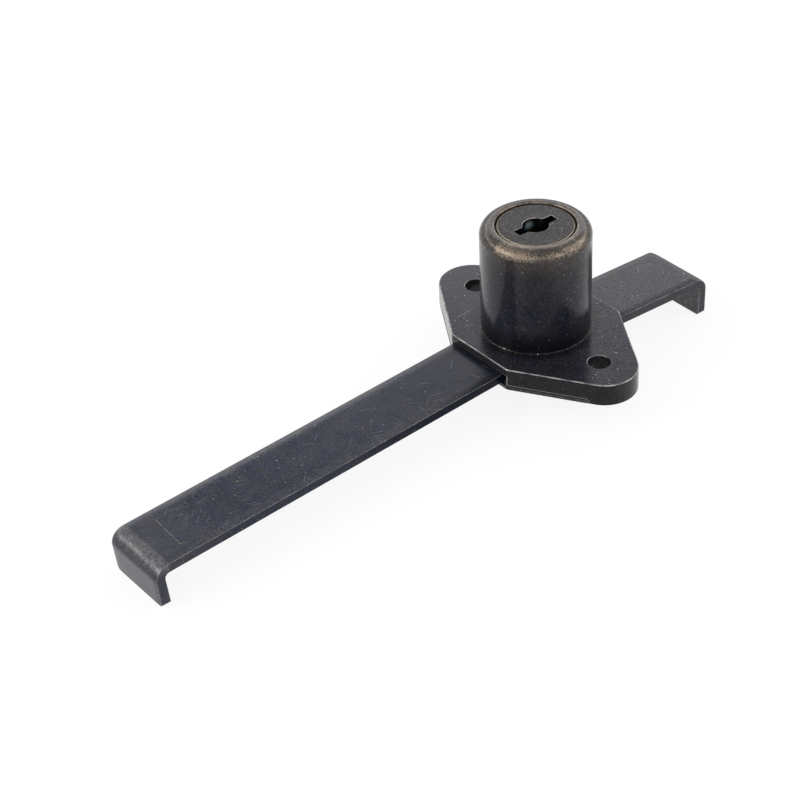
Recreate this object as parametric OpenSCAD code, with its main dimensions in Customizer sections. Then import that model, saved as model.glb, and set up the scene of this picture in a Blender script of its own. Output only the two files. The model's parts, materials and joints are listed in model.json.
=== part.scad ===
// Surface-mounted drawer lock: a round barrel on a two-hole flange, with a sliding
// bar behind the flange whose bent ends hook the drawer or its locking rail.
// Millimetres. The origin is on the barrel's axis at the flange's front face.
// +Z points out of the barrel to the key, +X along the bar to its short arm.

/* [Barrel] */
// Outside diameter of the barrel
barrel_d = 22; // [21:0.5:28]
// Height of the barrel above the flange's front face
barrel_h = 23; // [20:0.5:32]
// Wall of the barrel around the plug's bore
barrel_wall = 3; // [2.6:0.1:3.5]
// Radius of the barrel's rounded rim
rim_r = 2.1; // [0.5:0.1:2.4]

/* [Flange] */
// Width of the flange along the bar
flange_w = 30; // [28:0.5:36]
// Length of the flange's straight sides, across the bar
side_len = 16.3; // [15.6:0.1:20]
// Radius of the flange's two ears
ear_r = 6.7; // [5:0.1:8]
// Distance between the centres of the two ears
ear_pitch = 39.4; // [38:0.2:46]
// Radius of the four corners between the straight sides and the ears
corner_r = 1.5; // [0.3:0.1:3]
// Distance between the two screw holes
screw_pitch = 36.5; // [35:0.5:42]
// Diameter of the screw holes
screw_d = 4.5; // [3:0.1:5.5]

/* [Back plate] */
// Thickness of the back plate
plate_t = 1; // [0.6:0.1:1.5]
// Distance from a screw hole's centre to the nearer end of the back plate
plate_end = 3.65; // [3:0.05:5]
// Diameter of the cast studs that hold the back plate
stud_d = 2; // [1.5:0.1:3]
// Distance between the studs, along the bar
stud_pitch_x = 17; // [14:0.5:20]
// Distance between the studs, across the bar
stud_pitch_y = 23; // [21:0.5:26]
// Gap round the studs and at the ends of the back plate
plate_gap = 0.1; // [0.05:0.05:0.3]
// How much wider the back plate's screw holes are than the flange's, on the radius
screw_gap = 0.4; // [0.3:0.05:0.5]

/* [Bar] */
// Width of the bar
bar_w = 14.4; // [12:0.2:14.6]
// Thickness of the bar
bar_t = 2; // [1.5:0.1:2.5]
// Gap above and below the bar in its channel
bar_gap = 0.1; // [0.05:0.05:0.3]
// Metal left between the channel and the flange's front face
roof_t = 1.6; // [1:0.1:2.5]
// Reach of the long arm, from the barrel's axis to the hook's outer face
long_reach = 98.4; // [70:0.1:140]
// Reach of the short arm, from the barrel's axis to the hook's outer face
short_reach = 38.9; // [32:0.1:80]
// Depth of the hooks below the bar's top face
hook_drop = 8.9; // [6:0.1:14]
// Outer radius of the bends
bend_r = 3; // [2.6:0.1:4]
// How far past square the long arm's hook is bent, in degrees
long_overbend = 5; // [0:0.5:8]
// Radius of the hooks' lower corners
hook_corner_r = 0.6; // [0.3:0.1:3]
// Sideways sweep of the long arm, in degrees
long_sweep = 2.4; // [0:0.1:3]
// Sideways sweep of the short arm, in degrees
short_sweep = 3.2; // [0:0.1:4]
// Where the two swept arms meet, left of the barrel's axis
sweep_x = 9.4; // [8:0.1:12]
// How far the bar's middle lies to the side there
sweep_y = 0.6; // [0:0.1:0.8]

/* [Plug] */
// Radial running clearance between the plug and its bore
plug_gap = 0.08; // [0.04:0.01:0.1]
// How far the plug's face lies below the barrel's rim
face_drop = 0.2; // [0:0.1:1]
// How much smaller the plug's head is than its body, on the radius
head_step = 0.34; // [0.1:0.02:0.6]
// Height of the plug's stepped head
head_h = 1; // [0.5:0.1:2]
// Thickness of the flange at the plug's back
foot_t = 2; // [1.2:0.1:3]
// How far that flange stands out past the plug's body
foot_step = 1.1; // [0.6:0.1:1.3]
// Axial play of the plug's back flange
foot_gap = 0.1; // [0.05:0.05:0.3]
// Radius at which the drive pin sits, from the plug's axis
crank_r = 5; // [4:0.1:5.2]
// Diameter of the drive pin
pin_d = 3; // [2.5:0.1:3.4]
// Gap between the drive pin and each side of the bar's slot
pin_gap = 0.3; // [0.2:0.05:0.5]
// How far the plug turns, in degrees
turn = 90; // [60:5:90]

/* [Keyway] */
// Metal between the ends of the key slot and the plug's side
keyway_wall = 3.25; // [2.8:0.05:3.8]
// Width of the key slot's wings
keyway_w = 2; // [1.5:0.1:2.5]
// Diameter of the round hole in the middle of the key slot
keyhole_d = 5.2; // [4:0.1:5.4]
// Radius of the fillets between the wings and the round hole
keyway_fillet = 0.5; // [0.2:0.1:0.8]
// Small turn of the plug within its play at rest, in degrees
rest_turn = -3.4; // [-4:0.1:0]

/* [Wafers] */
// Thickness of a wafer
wafer_t = 0.9; // [0.6:0.05:1]
// Width of a wafer
wafer_w = 7; // [6.6:0.1:7.4]
// Width of the tongue at each end of a wafer
tongue_w = 4.6; // [4:0.1:5]
// How far a wafer springs out of the plug into the barrel
wafer_travel = 1; // [0.6:0.1:1.1]
// Gap round a wafer in its slot
wafer_gap = 0.1; // [0.05:0.01:0.15]
// Gap round a wafer's tongue in the barrel's groove, at its tip and sides
groove_gap = 0.25; // [0.15:0.05:0.4]
// Gap between the key slot and a wafer's window
window_gap = 0.2; // [0.1:0.05:0.3]
// Outside diameter of a wafer spring
spring_d = 1.3; // [1.1:0.05:1.35]
// Wire diameter of a wafer spring
spring_wire = 0.28; // [0.2:0.02:0.3]
// Number of turns of a wafer spring
spring_turns = 5; // [4:1:6]

/* [Hidden] */
$fn = 96;
// A cut runs this far past the face it opens
past = 1;
wafer_count = 8;

// Heights of the flange's layers, counted down from its front face
channel_top = -roof_t;
bar_top = channel_top - bar_gap;
bar_bottom = bar_top - bar_t;
plate_top = bar_bottom - bar_gap;
// The back plate lies flush with the underside of the ears
flange_bottom = plate_top - plate_t;
plate_len = screw_pitch + 2 * plate_end;
channel_side = 0.1;
channel_w = side_len - 2 * channel_side;
stud_flare = 0.55;

// Plug, from its drive pin up to its face
bore_r = barrel_d / 2 - barrel_wall;
plug_r = bore_r - plug_gap;
foot_r = plug_r + foot_step;
foot_bottom = channel_top + foot_gap;
foot_top = foot_bottom + foot_t;
face_z = barrel_h - face_drop;
foot_clear = 0.2;
stop_w = 3;
stop_h = 1.2;
stop_step = 1.2;
stop_r = foot_r + stop_step;
stop_gap = 0.2;
keyway_len = 2 * (plug_r - keyway_wall);
pin_end_gap = 0.2;
pin_end = plate_top + pin_end_gap;
edge_break = 0.2;
fillet_past_head = 0.6;
fillet_depth = head_h + fillet_past_head;
// The drive pin swings evenly either side of the bar's cross line
pin_rest = 90 + turn / 2;

// Wafers, spread evenly down the plug below its head
neck_wall = 1.4;
floor_wall = 2.5;
stack_top = face_z - head_h - neck_wall;
stack_bottom = foot_top + floor_wall;
wafer_pitch = (stack_top - stack_bottom) / wafer_count;
slot_h = wafer_t + 2 * wafer_gap;
slot_w = wafer_w + 2 * wafer_gap;
key_tip_room = 0.6;
keyway_bottom = stack_bottom - key_tip_room;
// Drawn in, a wafer's ends lie this far inside the plug's surface
wafer_sink = 0.15;
wafer_r = plug_r - wafer_sink;
groove_r = wafer_r + wafer_travel + groove_gap;
groove_end_room = 0.4;
groove_w = tongue_w + 2 * (groove_r * sin(abs(rest_turn)) + groove_gap);
window_x = keyway_len / 2 + window_gap;
window_y = keyhole_d / 2 + window_gap;
// The shoulders stay inside the plug when the wafer is out
shoulder_sink = 0.25;
shoulder_x = sqrt(pow(plug_r - shoulder_sink, 2) - pow(wafer_w / 2, 2)) - wafer_travel;
lug_w = 1.8;
lug_start = 0.8;
lug_len = 1.2;
pocket_start = -3.6;
pocket_end = lug_start + lug_len + wafer_travel + 2 * wafer_gap;
pocket_h = spring_d + 2 * wafer_gap;
spring_end_gap = 0.05;
spring_y = wafer_w / 2 + wafer_gap + lug_w / 2;

// Colours of the finishes
black_bronze = [0.16, 0.15, 0.15];
worn_bronze = [0.27, 0.23, 0.2];
plate_grey = [0.3, 0.3, 0.32];
brass = [0.72, 0.58, 0.3];
spring_steel = [0.6, 0.61, 0.63];

// Height of the middle of wafer i, counted from 1 at the key's end
function wafer_z(i) = stack_top - (i - 0.5) * wafer_pitch;
// Odd wafers spring towards the long side of the slot, even ones the other way
function wafer_flip(i) = i % 2 == 1 ? 0 : 180;

// Flange outline: two round ears joined to the straight sides by tangent lines
corner = [flange_w / 2, side_len / 2];
ear_y = ear_pitch / 2;
to_corner = corner - [0, ear_y];
tangent_angle = atan2(to_corner[1], to_corner[0]) + acos(ear_r / norm(to_corner));
tangent = [ear_r * cos(tangent_angle), ear_y + ear_r * sin(tangent_angle)];
slope_dir = (tangent - corner) / norm(tangent - corner);
// Inside angle between the straight side and the tangent line
corner_angle = acos(-slope_dir[1]);
corner_cut = corner_r / tan(corner_angle / 2);
corner_on_side = corner - [0, corner_cut];
corner_on_slope = corner + corner_cut * slope_dir;
corner_centre = corner_on_side - [corner_r, 0];

module four_ways() {
    for (mx = [0, 1], my = [0, 1]) mirror([mx, 0]) mirror([0, my]) children();
}

module flange_outline() {
    four_ways() {
        polygon([[0, 0], [corner_on_side[0], 0], corner_on_side, corner_on_slope,
            tangent, [0, tangent[1]]]);
        translate(corner_centre) circle(corner_r);
        translate([0, ear_y]) circle(ear_r);
    }
}

module at_screws() {
    for (side = [-1, 1]) translate([0, side * screw_pitch / 2, 0]) children();
}

module at_studs() {
    for (sx = [-1, 1], sy = [-1, 1])
        translate([sx * stud_pitch_x / 2, sy * stud_pitch_y / 2, 0]) children();
}

// Stud with its flared end, or with a gap the hole for it, from the back plate's top
module stud_shape(gap) {
    translate([0, 0, flange_bottom])
        cylinder(h = plate_t, d = stud_d + 2 * gap);
    translate([0, 0, flange_bottom])
        cylinder(h = stud_flare, d1 = stud_d + 2 * (gap + stud_flare), d2 = stud_d + 2 * gap);
}

// Die-cast housing: barrel and flange in one piece
module housing() {
    color(black_bronze) difference() {
        union() {
            translate([0, 0, flange_bottom]) linear_extrude(-flange_bottom) flange_outline();
            rotate_extrude() barrel_profile();
        }
        translate([0, 0, flange_bottom - past])
            cylinder(h = barrel_h - flange_bottom + 2 * past, r = bore_r);
        translate([0, 0, barrel_h - edge_break])
            cylinder(h = edge_break + past, r1 = bore_r, r2 = bore_r + edge_break + past);
        wafer_grooves();
        plug_foot_seat();
        bar_channel();
        translate([0, 0, flange_bottom - past]) linear_extrude(plate_top - flange_bottom + past)
            plate_seat_outline();
        at_screws() translate([0, 0, flange_bottom - past])
            cylinder(h = 2 * past - flange_bottom, d = screw_d);
    }
    color(black_bronze) at_studs() stud_shape(0);
}

module barrel_profile() {
    r = barrel_d / 2;
    square([r, barrel_h - rim_r]);
    square([r - rim_r, barrel_h]);
    translate([r - rim_r, barrel_h - rim_r]) intersection() {
        circle(rim_r);
        square(rim_r);
    }
}

// Four grooves in the bore take the wafers when the key is out
module wafer_grooves() {
    groove_top = stack_top + groove_end_room;
    groove_bottom = stack_bottom - groove_end_room;
    intersection() {
        translate([0, 0, groove_bottom]) cylinder(h = groove_top - groove_bottom, r = groove_r);
        for (a = [0, 90]) rotate(a) translate([-groove_r, -groove_w / 2, groove_bottom])
            cube([2 * groove_r, groove_w, groove_top - groove_bottom]);
    }
}

// Seat of the plug's back flange, with the recess that its stop swings in
module plug_foot_seat() {
    seat_top = foot_top + foot_gap;
    seat_bottom = channel_top - past;
    translate([0, 0, seat_bottom]) cylinder(h = seat_top - seat_bottom, r = foot_r + foot_clear);
    recess_top = foot_bottom + stop_h + foot_gap;
    stop_span = turn + 2 * asin((stop_w / 2 + stop_gap) / stop_r);
    translate([0, 0, seat_bottom]) linear_extrude(recess_top - seat_bottom)
        sector(stop_r + foot_clear, 270 - stop_span / 2, 270 + stop_span / 2);
}

// Slice of a disc between two angles less than 180 degrees apart
module sector(r, from, to) {
    reach = 2 * r;
    middle = (from + to) / 2;
    intersection() {
        circle(r);
        polygon([[0, 0], reach * [cos(from), sin(from)], reach * [cos(middle), sin(middle)],
            reach * [cos(to), sin(to)]]);
    }
}

module bar_channel() {
    translate([-flange_w / 2 - past, -channel_w / 2, plate_top - past])
        cube([flange_w + 2 * past, channel_w, channel_top - plate_top + past]);
}

// The back plate's seat is open along the flange's sides and closed at its ears
module plate_seat_outline() {
    square([flange_w + 2 * past, plate_len + 2 * plate_gap], center = true);
}

// Stamped back plate, flush with the flange and held by the four studs
module back_plate() {
    color(plate_grey) difference() {
        translate([0, 0, flange_bottom]) linear_extrude(plate_t) intersection() {
            flange_outline();
            square([flange_w + 2 * past, plate_len], center = true);
        }
        at_screws() translate([0, 0, flange_bottom - past])
            cylinder(h = plate_t + 2 * past, d = screw_d + 2 * screw_gap);
        at_studs() {
            stud_shape(plate_gap);
            translate([0, 0, flange_bottom - past])
                cylinder(h = plate_t + 2 * past, d = stud_d + 2 * plate_gap);
        }
    }
}

// Length of each arm along X, from where the arms meet to the start of its bend
long_run = long_reach - sweep_x - bend_r;
short_run = short_reach + sweep_x - bend_r;
// The disc that joins the arms stays this far inside their edges
joint_inset = 0.05;

// Steel bar: two swept arms, joined in the middle, with the drive pin's slot
module bar() {
    color(black_bronze) difference() {
        translate([-sweep_x, sweep_y, 0]) {
            translate([0, 0, bar_bottom]) cylinder(h = bar_t, r = bar_w / 2 - joint_inset);
            rotate(180) arm(long_run, long_overbend, long_sweep);
            arm(short_run, 0, -short_sweep);
        }
        drive_slot();
    }
}

// One arm towards +X: a swept strip whose end is bent down into a hook square to X
module arm(run, overbend, sweep) {
    shift = run * tan(sweep);
    difference() {
        intersection() {
            rotate([90, 0, 0]) linear_extrude(2 * bar_w, center = true) arm_side(run, overbend);
            translate([0, 0, bar_top - hook_drop - past]) linear_extrude(hook_drop + 2 * past)
                arm_plan(run, shift, bar_w / 2 / cos(sweep));
        }
        translate([0, shift, 0]) hook_corners(run, bar_w / 2 / cos(sweep));
    }
}

// Plan of an arm: it runs askew up to the start of its bend, and its hook straight on
module arm_plan(run, shift, half_w) {
    reach = run + bend_r + past;
    polygon([[0, -half_w], [run, shift - half_w], [reach, shift - half_w],
        [reach, shift + half_w], [run, shift + half_w], [0, half_w]]);
}

// Side view of an arm: flat strip, bend, and leg down to the hook's full drop
module arm_side(run, overbend) {
    centre = [run, bar_top - bend_r];
    bend_in = bend_r - bar_t;
    inside = [for (a = bend_angles(overbend)) centre + bend_in * [cos(a), sin(a)]];
    outside = [for (a = bend_angles(overbend)) centre + bend_r * [cos(a), sin(a)]];
    polygon(concat([[0, bar_top]], outside,
        [leg_foot(outside[bend_steps], overbend), leg_foot(inside[bend_steps], overbend)],
        [for (i = [bend_steps : -1 : 0]) inside[i]], [[0, bar_bottom]]));
}

// Angles along a bend, from the flat strip down to the leg
bend_steps = 24;
function bend_angles(overbend) =
    [for (i = [0 : bend_steps]) 90 - (90 + overbend) * i / bend_steps];

// Foot of the leg's face that starts at a point of the bend
function leg_foot(start, overbend) =
    let (low = bar_top - hook_drop)
    [start[0] - (start[1] - low) * tan(overbend), low];

// What the rounded lower corners of a hook's leg leave out
module hook_corners(run, half_w) {
    low = bar_top - hook_drop;
    cut = hook_corner_r + past;
    for (side = [0, 1]) mirror([0, side, 0])
        translate([run - hook_drop, half_w - hook_corner_r, low + hook_corner_r])
            rotate([90, 0, 90]) linear_extrude(2 * hook_drop) difference() {
                translate([0, -cut]) square(cut);
                circle(hook_corner_r);
            }
}

// Cross slot that turns the drive pin's swing into the bar's slide
module drive_slot() {
    slot_x = crank_r * cos(pin_rest);
    half_w = pin_d / 2 + pin_gap;
    y_low = crank_r * sin(pin_rest) - half_w;
    y_high = crank_r + half_w;
    translate([slot_x - half_w, y_low, bar_bottom - past])
        cube([2 * half_w, y_high - y_low, bar_t + 2 * past]);
}

// Plug, cast in one with its back flange, stop and drive pin
module plug() {
    color(worn_bronze) difference() {
        union() {
            rotate_extrude() plug_profile();
            rotate(pin_rest) translate([crank_r, 0, pin_end])
                cylinder(h = foot_top - pin_end, d = pin_d);
            rotate(pin_rest + 180) translate([0, -stop_w / 2, foot_bottom])
                intersection() {
                    cube([stop_r, stop_w, stop_h]);
                    translate([0, stop_w / 2, 0]) cylinder(h = stop_h, r = stop_r);
                }
        }
        rotate(rest_turn) {
            translate([0, 0, keyway_bottom]) linear_extrude(face_z - keyway_bottom + past)
                keyway_outline();
            translate([0, 0, face_z - fillet_depth]) linear_extrude(fillet_depth + past)
                keyway_fillets();
            for (i = [1 : wafer_count]) translate([0, 0, wafer_z(i)]) rotate(wafer_flip(i))
                wafer_slot();
        }
    }
}

module plug_profile() {
    head_r = plug_r - head_step;
    polygon([[0, foot_bottom], [foot_r, foot_bottom], [foot_r, foot_top], [plug_r, foot_top],
        [plug_r, face_z - head_h], [head_r, face_z - head_h], [head_r, face_z - edge_break],
        [head_r - edge_break, face_z], [0, face_z]]);
}

// Key slot: two wings across a round hole
module keyway_outline() {
    square([keyway_len, keyway_w], center = true);
    circle(d = keyhole_d);
}

// Fillets between the wings and the round hole, at the slot's mouth
module keyway_fillets() {
    hole_r = keyhole_d / 2;
    reach = hole_r + keyway_fillet;
    lift = keyway_w / 2 + keyway_fillet;
    centre = [sqrt(pow(reach, 2) - pow(lift, 2)), lift];
    four_ways() difference() {
        polygon([[0, 0], [centre[0], keyway_w / 2], centre, centre * hole_r / reach]);
        translate(centre) circle(keyway_fillet);
    }
}

// Slot for one wafer, open at both ends, with a side pocket for its lug and spring
module wafer_slot() {
    translate([-bore_r, -slot_w / 2, -slot_h / 2]) cube([2 * bore_r, slot_w, slot_h]);
    translate([pocket_start, 0, -pocket_h / 2])
        cube([pocket_end - pocket_start, slot_w / 2 + lug_w + wafer_gap, pocket_h]);
}

// Wafer number i: a sliding plate with a window for the key and a lug for its spring
module wafer(i) {
    color(brass) rotate(rest_turn) translate([0, 0, wafer_z(i) - wafer_t / 2])
        rotate(wafer_flip(i)) linear_extrude(wafer_t) wafer_outline();
}

module wafer_outline() {
    difference() {
        intersection() {
            union() {
                square([2 * shoulder_x, wafer_w], center = true);
                square([2 * wafer_r, tongue_w], center = true);
                translate([lug_start, 0]) square([lug_len, wafer_w / 2 + lug_w]);
            }
            circle(wafer_r);
        }
        square([2 * window_x, 2 * window_y], center = true);
    }
}

// Spring of wafer i: one coil between the pocket's end and the wafer's lug
module wafer_spring(i) {
    color(spring_steel) rotate(rest_turn) translate([0, 0, wafer_z(i)]) rotate(wafer_flip(i))
        translate([pocket_start, spring_y, 0]) coil();
}

rings_per_turn = 8;
wire_sides = 6;
coil_r = (spring_d - spring_wire) / 2;
coil_start = spring_end_gap + spring_wire / 2;
coil_len = lug_start - pocket_start - 2 * coil_start;
coil_rings = rings_per_turn * spring_turns;

// Point on the wire: ring k of the coil, corner j of the wire's section
function wire_point(k, j) =
    let (a = 360 * k / rings_per_turn, b = 360 * j / wire_sides,
        r = coil_r + spring_wire / 2 * cos(b))
    [coil_start + coil_len * k / coil_rings + spring_wire / 2 * sin(b), r * cos(a), r * sin(a)];

module coil() {
    points = [for (k = [0 : coil_rings], j = [0 : wire_sides - 1]) wire_point(k, j)];
    corner = function (k, j) k * wire_sides + j % wire_sides;
    walls = [for (k = [0 : coil_rings - 1], j = [0 : wire_sides - 1], half = [0, 1])
        half == 0 ? [corner(k, j), corner(k, j + 1), corner(k + 1, j)]
            : [corner(k, j + 1), corner(k + 1, j + 1), corner(k + 1, j)]];
    first = [for (j = [1 : wire_sides - 2]) [0, j + 1, j]];
    last = [for (j = [1 : wire_sides - 2])
        [corner(coil_rings, 0), corner(coil_rings, j), corner(coil_rings, j + 1)]];
    polyhedron(points, concat(walls, first, last));
}
echo(str("least gap between a wafer spring's turns: ", coil_len / spring_turns - spring_wire));

housing();
back_plate();
bar();
plug();
for (i = [1 : wafer_count]) {
    wafer(i);
    wafer_spring(i);
}
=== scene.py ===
"""Looks of a surface-mounted drawer lock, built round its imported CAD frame.

Shapes are drawn in millimetres and become metres when a piece is finished.
The origin is on the barrel's axis at the flange's front face, +Z points to the
key and +X along the bar to its short arm.
"""

import json
import logging
import math
from dataclasses import dataclass, field, replace
from enum import Enum
from typing import Callable, ClassVar, Iterable, Optional, Union

import bmesh
import bpy
from bmesh.types import BMEdge, BMesh, BMFace, BMVert
from bpy.types import Material, Mesh, Node, NodeSocket, NodeTree, Object
from mathutils import Matrix, Vector

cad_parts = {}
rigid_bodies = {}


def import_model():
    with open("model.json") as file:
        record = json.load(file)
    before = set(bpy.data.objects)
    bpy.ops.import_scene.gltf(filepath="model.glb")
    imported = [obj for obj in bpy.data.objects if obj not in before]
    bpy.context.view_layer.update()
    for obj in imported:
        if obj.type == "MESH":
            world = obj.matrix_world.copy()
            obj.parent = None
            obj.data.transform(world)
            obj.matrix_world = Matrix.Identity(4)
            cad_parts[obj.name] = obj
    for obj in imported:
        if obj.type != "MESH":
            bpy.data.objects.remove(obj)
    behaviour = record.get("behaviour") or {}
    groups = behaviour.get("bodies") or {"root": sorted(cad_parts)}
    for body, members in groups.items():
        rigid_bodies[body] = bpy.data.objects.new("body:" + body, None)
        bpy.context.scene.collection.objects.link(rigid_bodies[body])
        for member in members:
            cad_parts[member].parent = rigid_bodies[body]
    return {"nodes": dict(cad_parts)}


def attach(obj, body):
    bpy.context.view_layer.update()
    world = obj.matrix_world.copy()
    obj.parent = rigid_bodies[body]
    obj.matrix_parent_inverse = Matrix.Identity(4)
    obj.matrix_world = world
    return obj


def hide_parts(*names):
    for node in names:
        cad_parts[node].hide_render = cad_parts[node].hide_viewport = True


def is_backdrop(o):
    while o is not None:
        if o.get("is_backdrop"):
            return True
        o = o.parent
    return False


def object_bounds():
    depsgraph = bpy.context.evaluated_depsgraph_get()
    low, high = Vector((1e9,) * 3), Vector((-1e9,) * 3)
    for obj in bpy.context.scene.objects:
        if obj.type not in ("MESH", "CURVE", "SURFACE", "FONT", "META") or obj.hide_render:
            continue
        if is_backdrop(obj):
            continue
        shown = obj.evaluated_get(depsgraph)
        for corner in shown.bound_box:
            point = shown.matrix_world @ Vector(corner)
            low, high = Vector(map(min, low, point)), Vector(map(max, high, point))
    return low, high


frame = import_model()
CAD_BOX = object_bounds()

LOG = logging.getLogger("drawer_lock")
MM = 0.001
RUB_LAYER = "rub"
FULL_TURN = 360.0
ROUND_STEPS = 160
STUD_STEPS = 40
SIDES = (-1, 1)
PAST = 1.0  # How far a cutter reaches past the solid that it cuts
SUNK = 0.4  # How deep an added solid reaches into the other
NEAR = 0.01  # How exactly an edge has to lie on a level to be picked
MERGE = 1e-5
SHARP = 46.0  # Angle from which an edge is shaded sharp, in degrees
CORNER = 40.0  # Angle from which an edge counts as a corner, in degrees
ONE_PLANE = 0.1  # Angle below which two faces lie in one plane, in degrees
MARK_GREY = (0.5, 0.51, 0.52)

Point = tuple[float, float]
Wired = Union[float, tuple, "Value"]


class Plane(Enum):
    """The plane that an outline is drawn in: its two axes and its normal."""

    FLAT = ((1.0, 0.0, 0.0), (0.0, 1.0, 0.0), (0.0, 0.0, 1.0))
    UPRIGHT = ((1.0, 0.0, 0.0), (0.0, 0.0, 1.0), (0.0, 1.0, 0.0))
    ACROSS = ((0.0, 1.0, 0.0), (0.0, 0.0, 1.0), (1.0, 0.0, 0.0))

    @property
    def normal(self) -> Vector:
        """Direction that a filled outline is extruded in."""
        return Vector(self.value[2])

    @property
    def turn_axis(self) -> Vector:
        """Axis about which an arc runs anticlockwise."""
        return Vector(self.value[0]).cross(Vector(self.value[1]))

    def at(self, point: Point) -> Vector:
        """Place of an outline's point in space."""
        return point[0] * Vector(self.value[0]) + point[1] * Vector(self.value[1])


class Join(Enum):
    """How one solid is combined with another."""

    ADD = "UNION"
    CUT = "DIFFERENCE"


class Zone(Enum):
    """Part whose own places of wear, painted shade and painted sheen a finish shows, beyond its
    edges.
    """

    NONE = "none"
    BARREL = "barrel"
    PLUG = "plug"
    BAR = "bar"


def only(geom: Iterable, kind: type) -> list:
    """The elements of one kind."""
    return [item for item in geom if isinstance(item, kind)]


def spin(
    shape: BMesh, geom: list, centre: tuple, axis: tuple, degrees: float, **more: object
) -> list:
    """Sweeps elements round an axis.

    Args:
        shape: The mesh that they belong to.
        geom: The elements.
        centre: A point on the axis.
        axis: Direction of the axis.
        degrees: Angle of the sweep.
        more: Other settings of the operator.

    Returns:
        The elements at the end of the sweep.
    """
    turn = math.radians(degrees)
    return bmesh.ops.spin(shape, geom=geom, cent=centre, axis=axis, angle=turn, **more)["geom_last"]


class Outline:
    """A line drawn from point to point, which becomes a face or is turned round Z."""

    def __init__(self, start: Point, plane: Plane = Plane.FLAT) -> None:
        """Starts the line at a point of its plane."""
        self.plane = plane
        self.shape = bmesh.new()
        self.first = self.last = self.shape.verts.new(plane.at(start))

    def line(self, *points: Point) -> "Outline":
        """Draws straight on through the points.

        Args:
            points: Points in order, in millimetres.

        Returns:
            The outline itself.
        """
        for point in points:
            vert = self.shape.verts.new(self.plane.at(point))
            self.shape.edges.new((self.last, vert))
            self.last = vert
        return self

    def arc(self, centre: Point, degrees: float, steps: int = 12) -> "Outline":
        """Draws on along an arc, anticlockwise for a positive angle, and returns itself."""
        cent, axis = self.plane.at(centre), self.plane.turn_axis
        self.last = only(spin(self.shape, [self.last], cent, axis, degrees, steps=steps), BMVert)[0]
        return self

    def close(self) -> "Outline":
        """Joins the last point to the first.

        Returns:
            The outline itself.
        """
        if (self.last.co - self.first.co).length > MERGE:
            self.shape.edges.new((self.last, self.first))
        bmesh.ops.remove_doubles(self.shape, verts=self.shape.verts[:], dist=MERGE)
        return self


def prism(outline: Outline, low: float, high: float) -> BMesh:
    """Fills a closed outline and extrudes it.

    Args:
        outline: Closed outline, used up.
        low: Start along the plane's normal.
        high: End along the plane's normal.

    Returns:
        The solid.
    """
    shape = outline.close().shape
    bmesh.ops.contextual_create(shape, geom=shape.edges[:])
    normal = outline.plane.normal
    bmesh.ops.translate(shape, verts=shape.verts[:], vec=normal * low)
    grown = bmesh.ops.extrude_face_region(shape, geom=shape.faces[:])
    bmesh.ops.translate(shape, verts=only(grown["geom"], BMVert), vec=normal * (high - low))
    bmesh.ops.recalc_face_normals(shape, faces=shape.faces[:])
    return shape


def revolve(outline: Outline, steps: int = ROUND_STEPS) -> BMesh:
    """Turns an upright outline, whose two ends lie on the axis, once round Z.

    Args:
        outline: The outline, used up.
        steps: Number of steps of the turn.

    Returns:
        The solid.
    """
    shape = outline.shape
    geom = shape.verts[:] + shape.edges[:]
    spin(shape, geom, (0, 0, 0), (0, 0, 1), FULL_TURN, steps=steps, use_merge=True)
    bmesh.ops.remove_doubles(shape, verts=shape.verts[:], dist=MERGE)
    bmesh.ops.recalc_face_normals(shape, faces=shape.faces[:])
    return shape


def box(low: tuple, high: tuple) -> BMesh:
    """A rectangular cutter between its lowest and its highest corner."""
    outline = Outline(low[:2]).line((high[0], low[1]), high[:2], (low[0], high[1]))
    return prism(outline, low[2], high[2])


def disc(centre: Point, radius: float, low: float, high: float, steps: int = 64) -> BMesh:
    """An upright round bar between two heights."""
    start = Outline((centre[0] + radius, centre[1]))
    return prism(start.arc(centre, FULL_TURN, steps), low, high)


def turned(shape: BMesh, degrees: float, centre: tuple = (0.0, 0.0, 0.0)) -> BMesh:
    """Turns a solid about a vertical line, anticlockwise from above.

    Args:
        shape: The solid, changed in place.
        degrees: Angle of the turn.
        centre: A point on the line.

    Returns:
        The same solid.
    """
    turn = Matrix.Rotation(math.radians(degrees), 3, "Z")
    bmesh.ops.rotate(shape, verts=shape.verts[:], cent=centre, matrix=turn)
    return shape


def moved(shape: BMesh, vec: tuple) -> BMesh:
    """Moves a solid and returns it."""
    bmesh.ops.translate(shape, verts=shape.verts[:], vec=vec)
    return shape


def mesh_from(name: str, shape: BMesh) -> Mesh:
    """Turns a solid into mesh data, and frees it.

    Args:
        name: Name of the mesh.
        shape: The solid, used up.

    Returns:
        The mesh data.
    """
    mesh = bpy.data.meshes.new(name)
    shape.to_mesh(mesh)
    shape.free()
    return mesh


def add_object(name: str, data: object) -> Object:
    """Puts a new object into the scene, at the origin.

    Args:
        name: Name of the object.
        data: Its mesh, light or camera.

    Returns:
        The object.
    """
    made = bpy.data.objects.new(name, data)
    bpy.context.scene.collection.objects.link(made)
    return made


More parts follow.
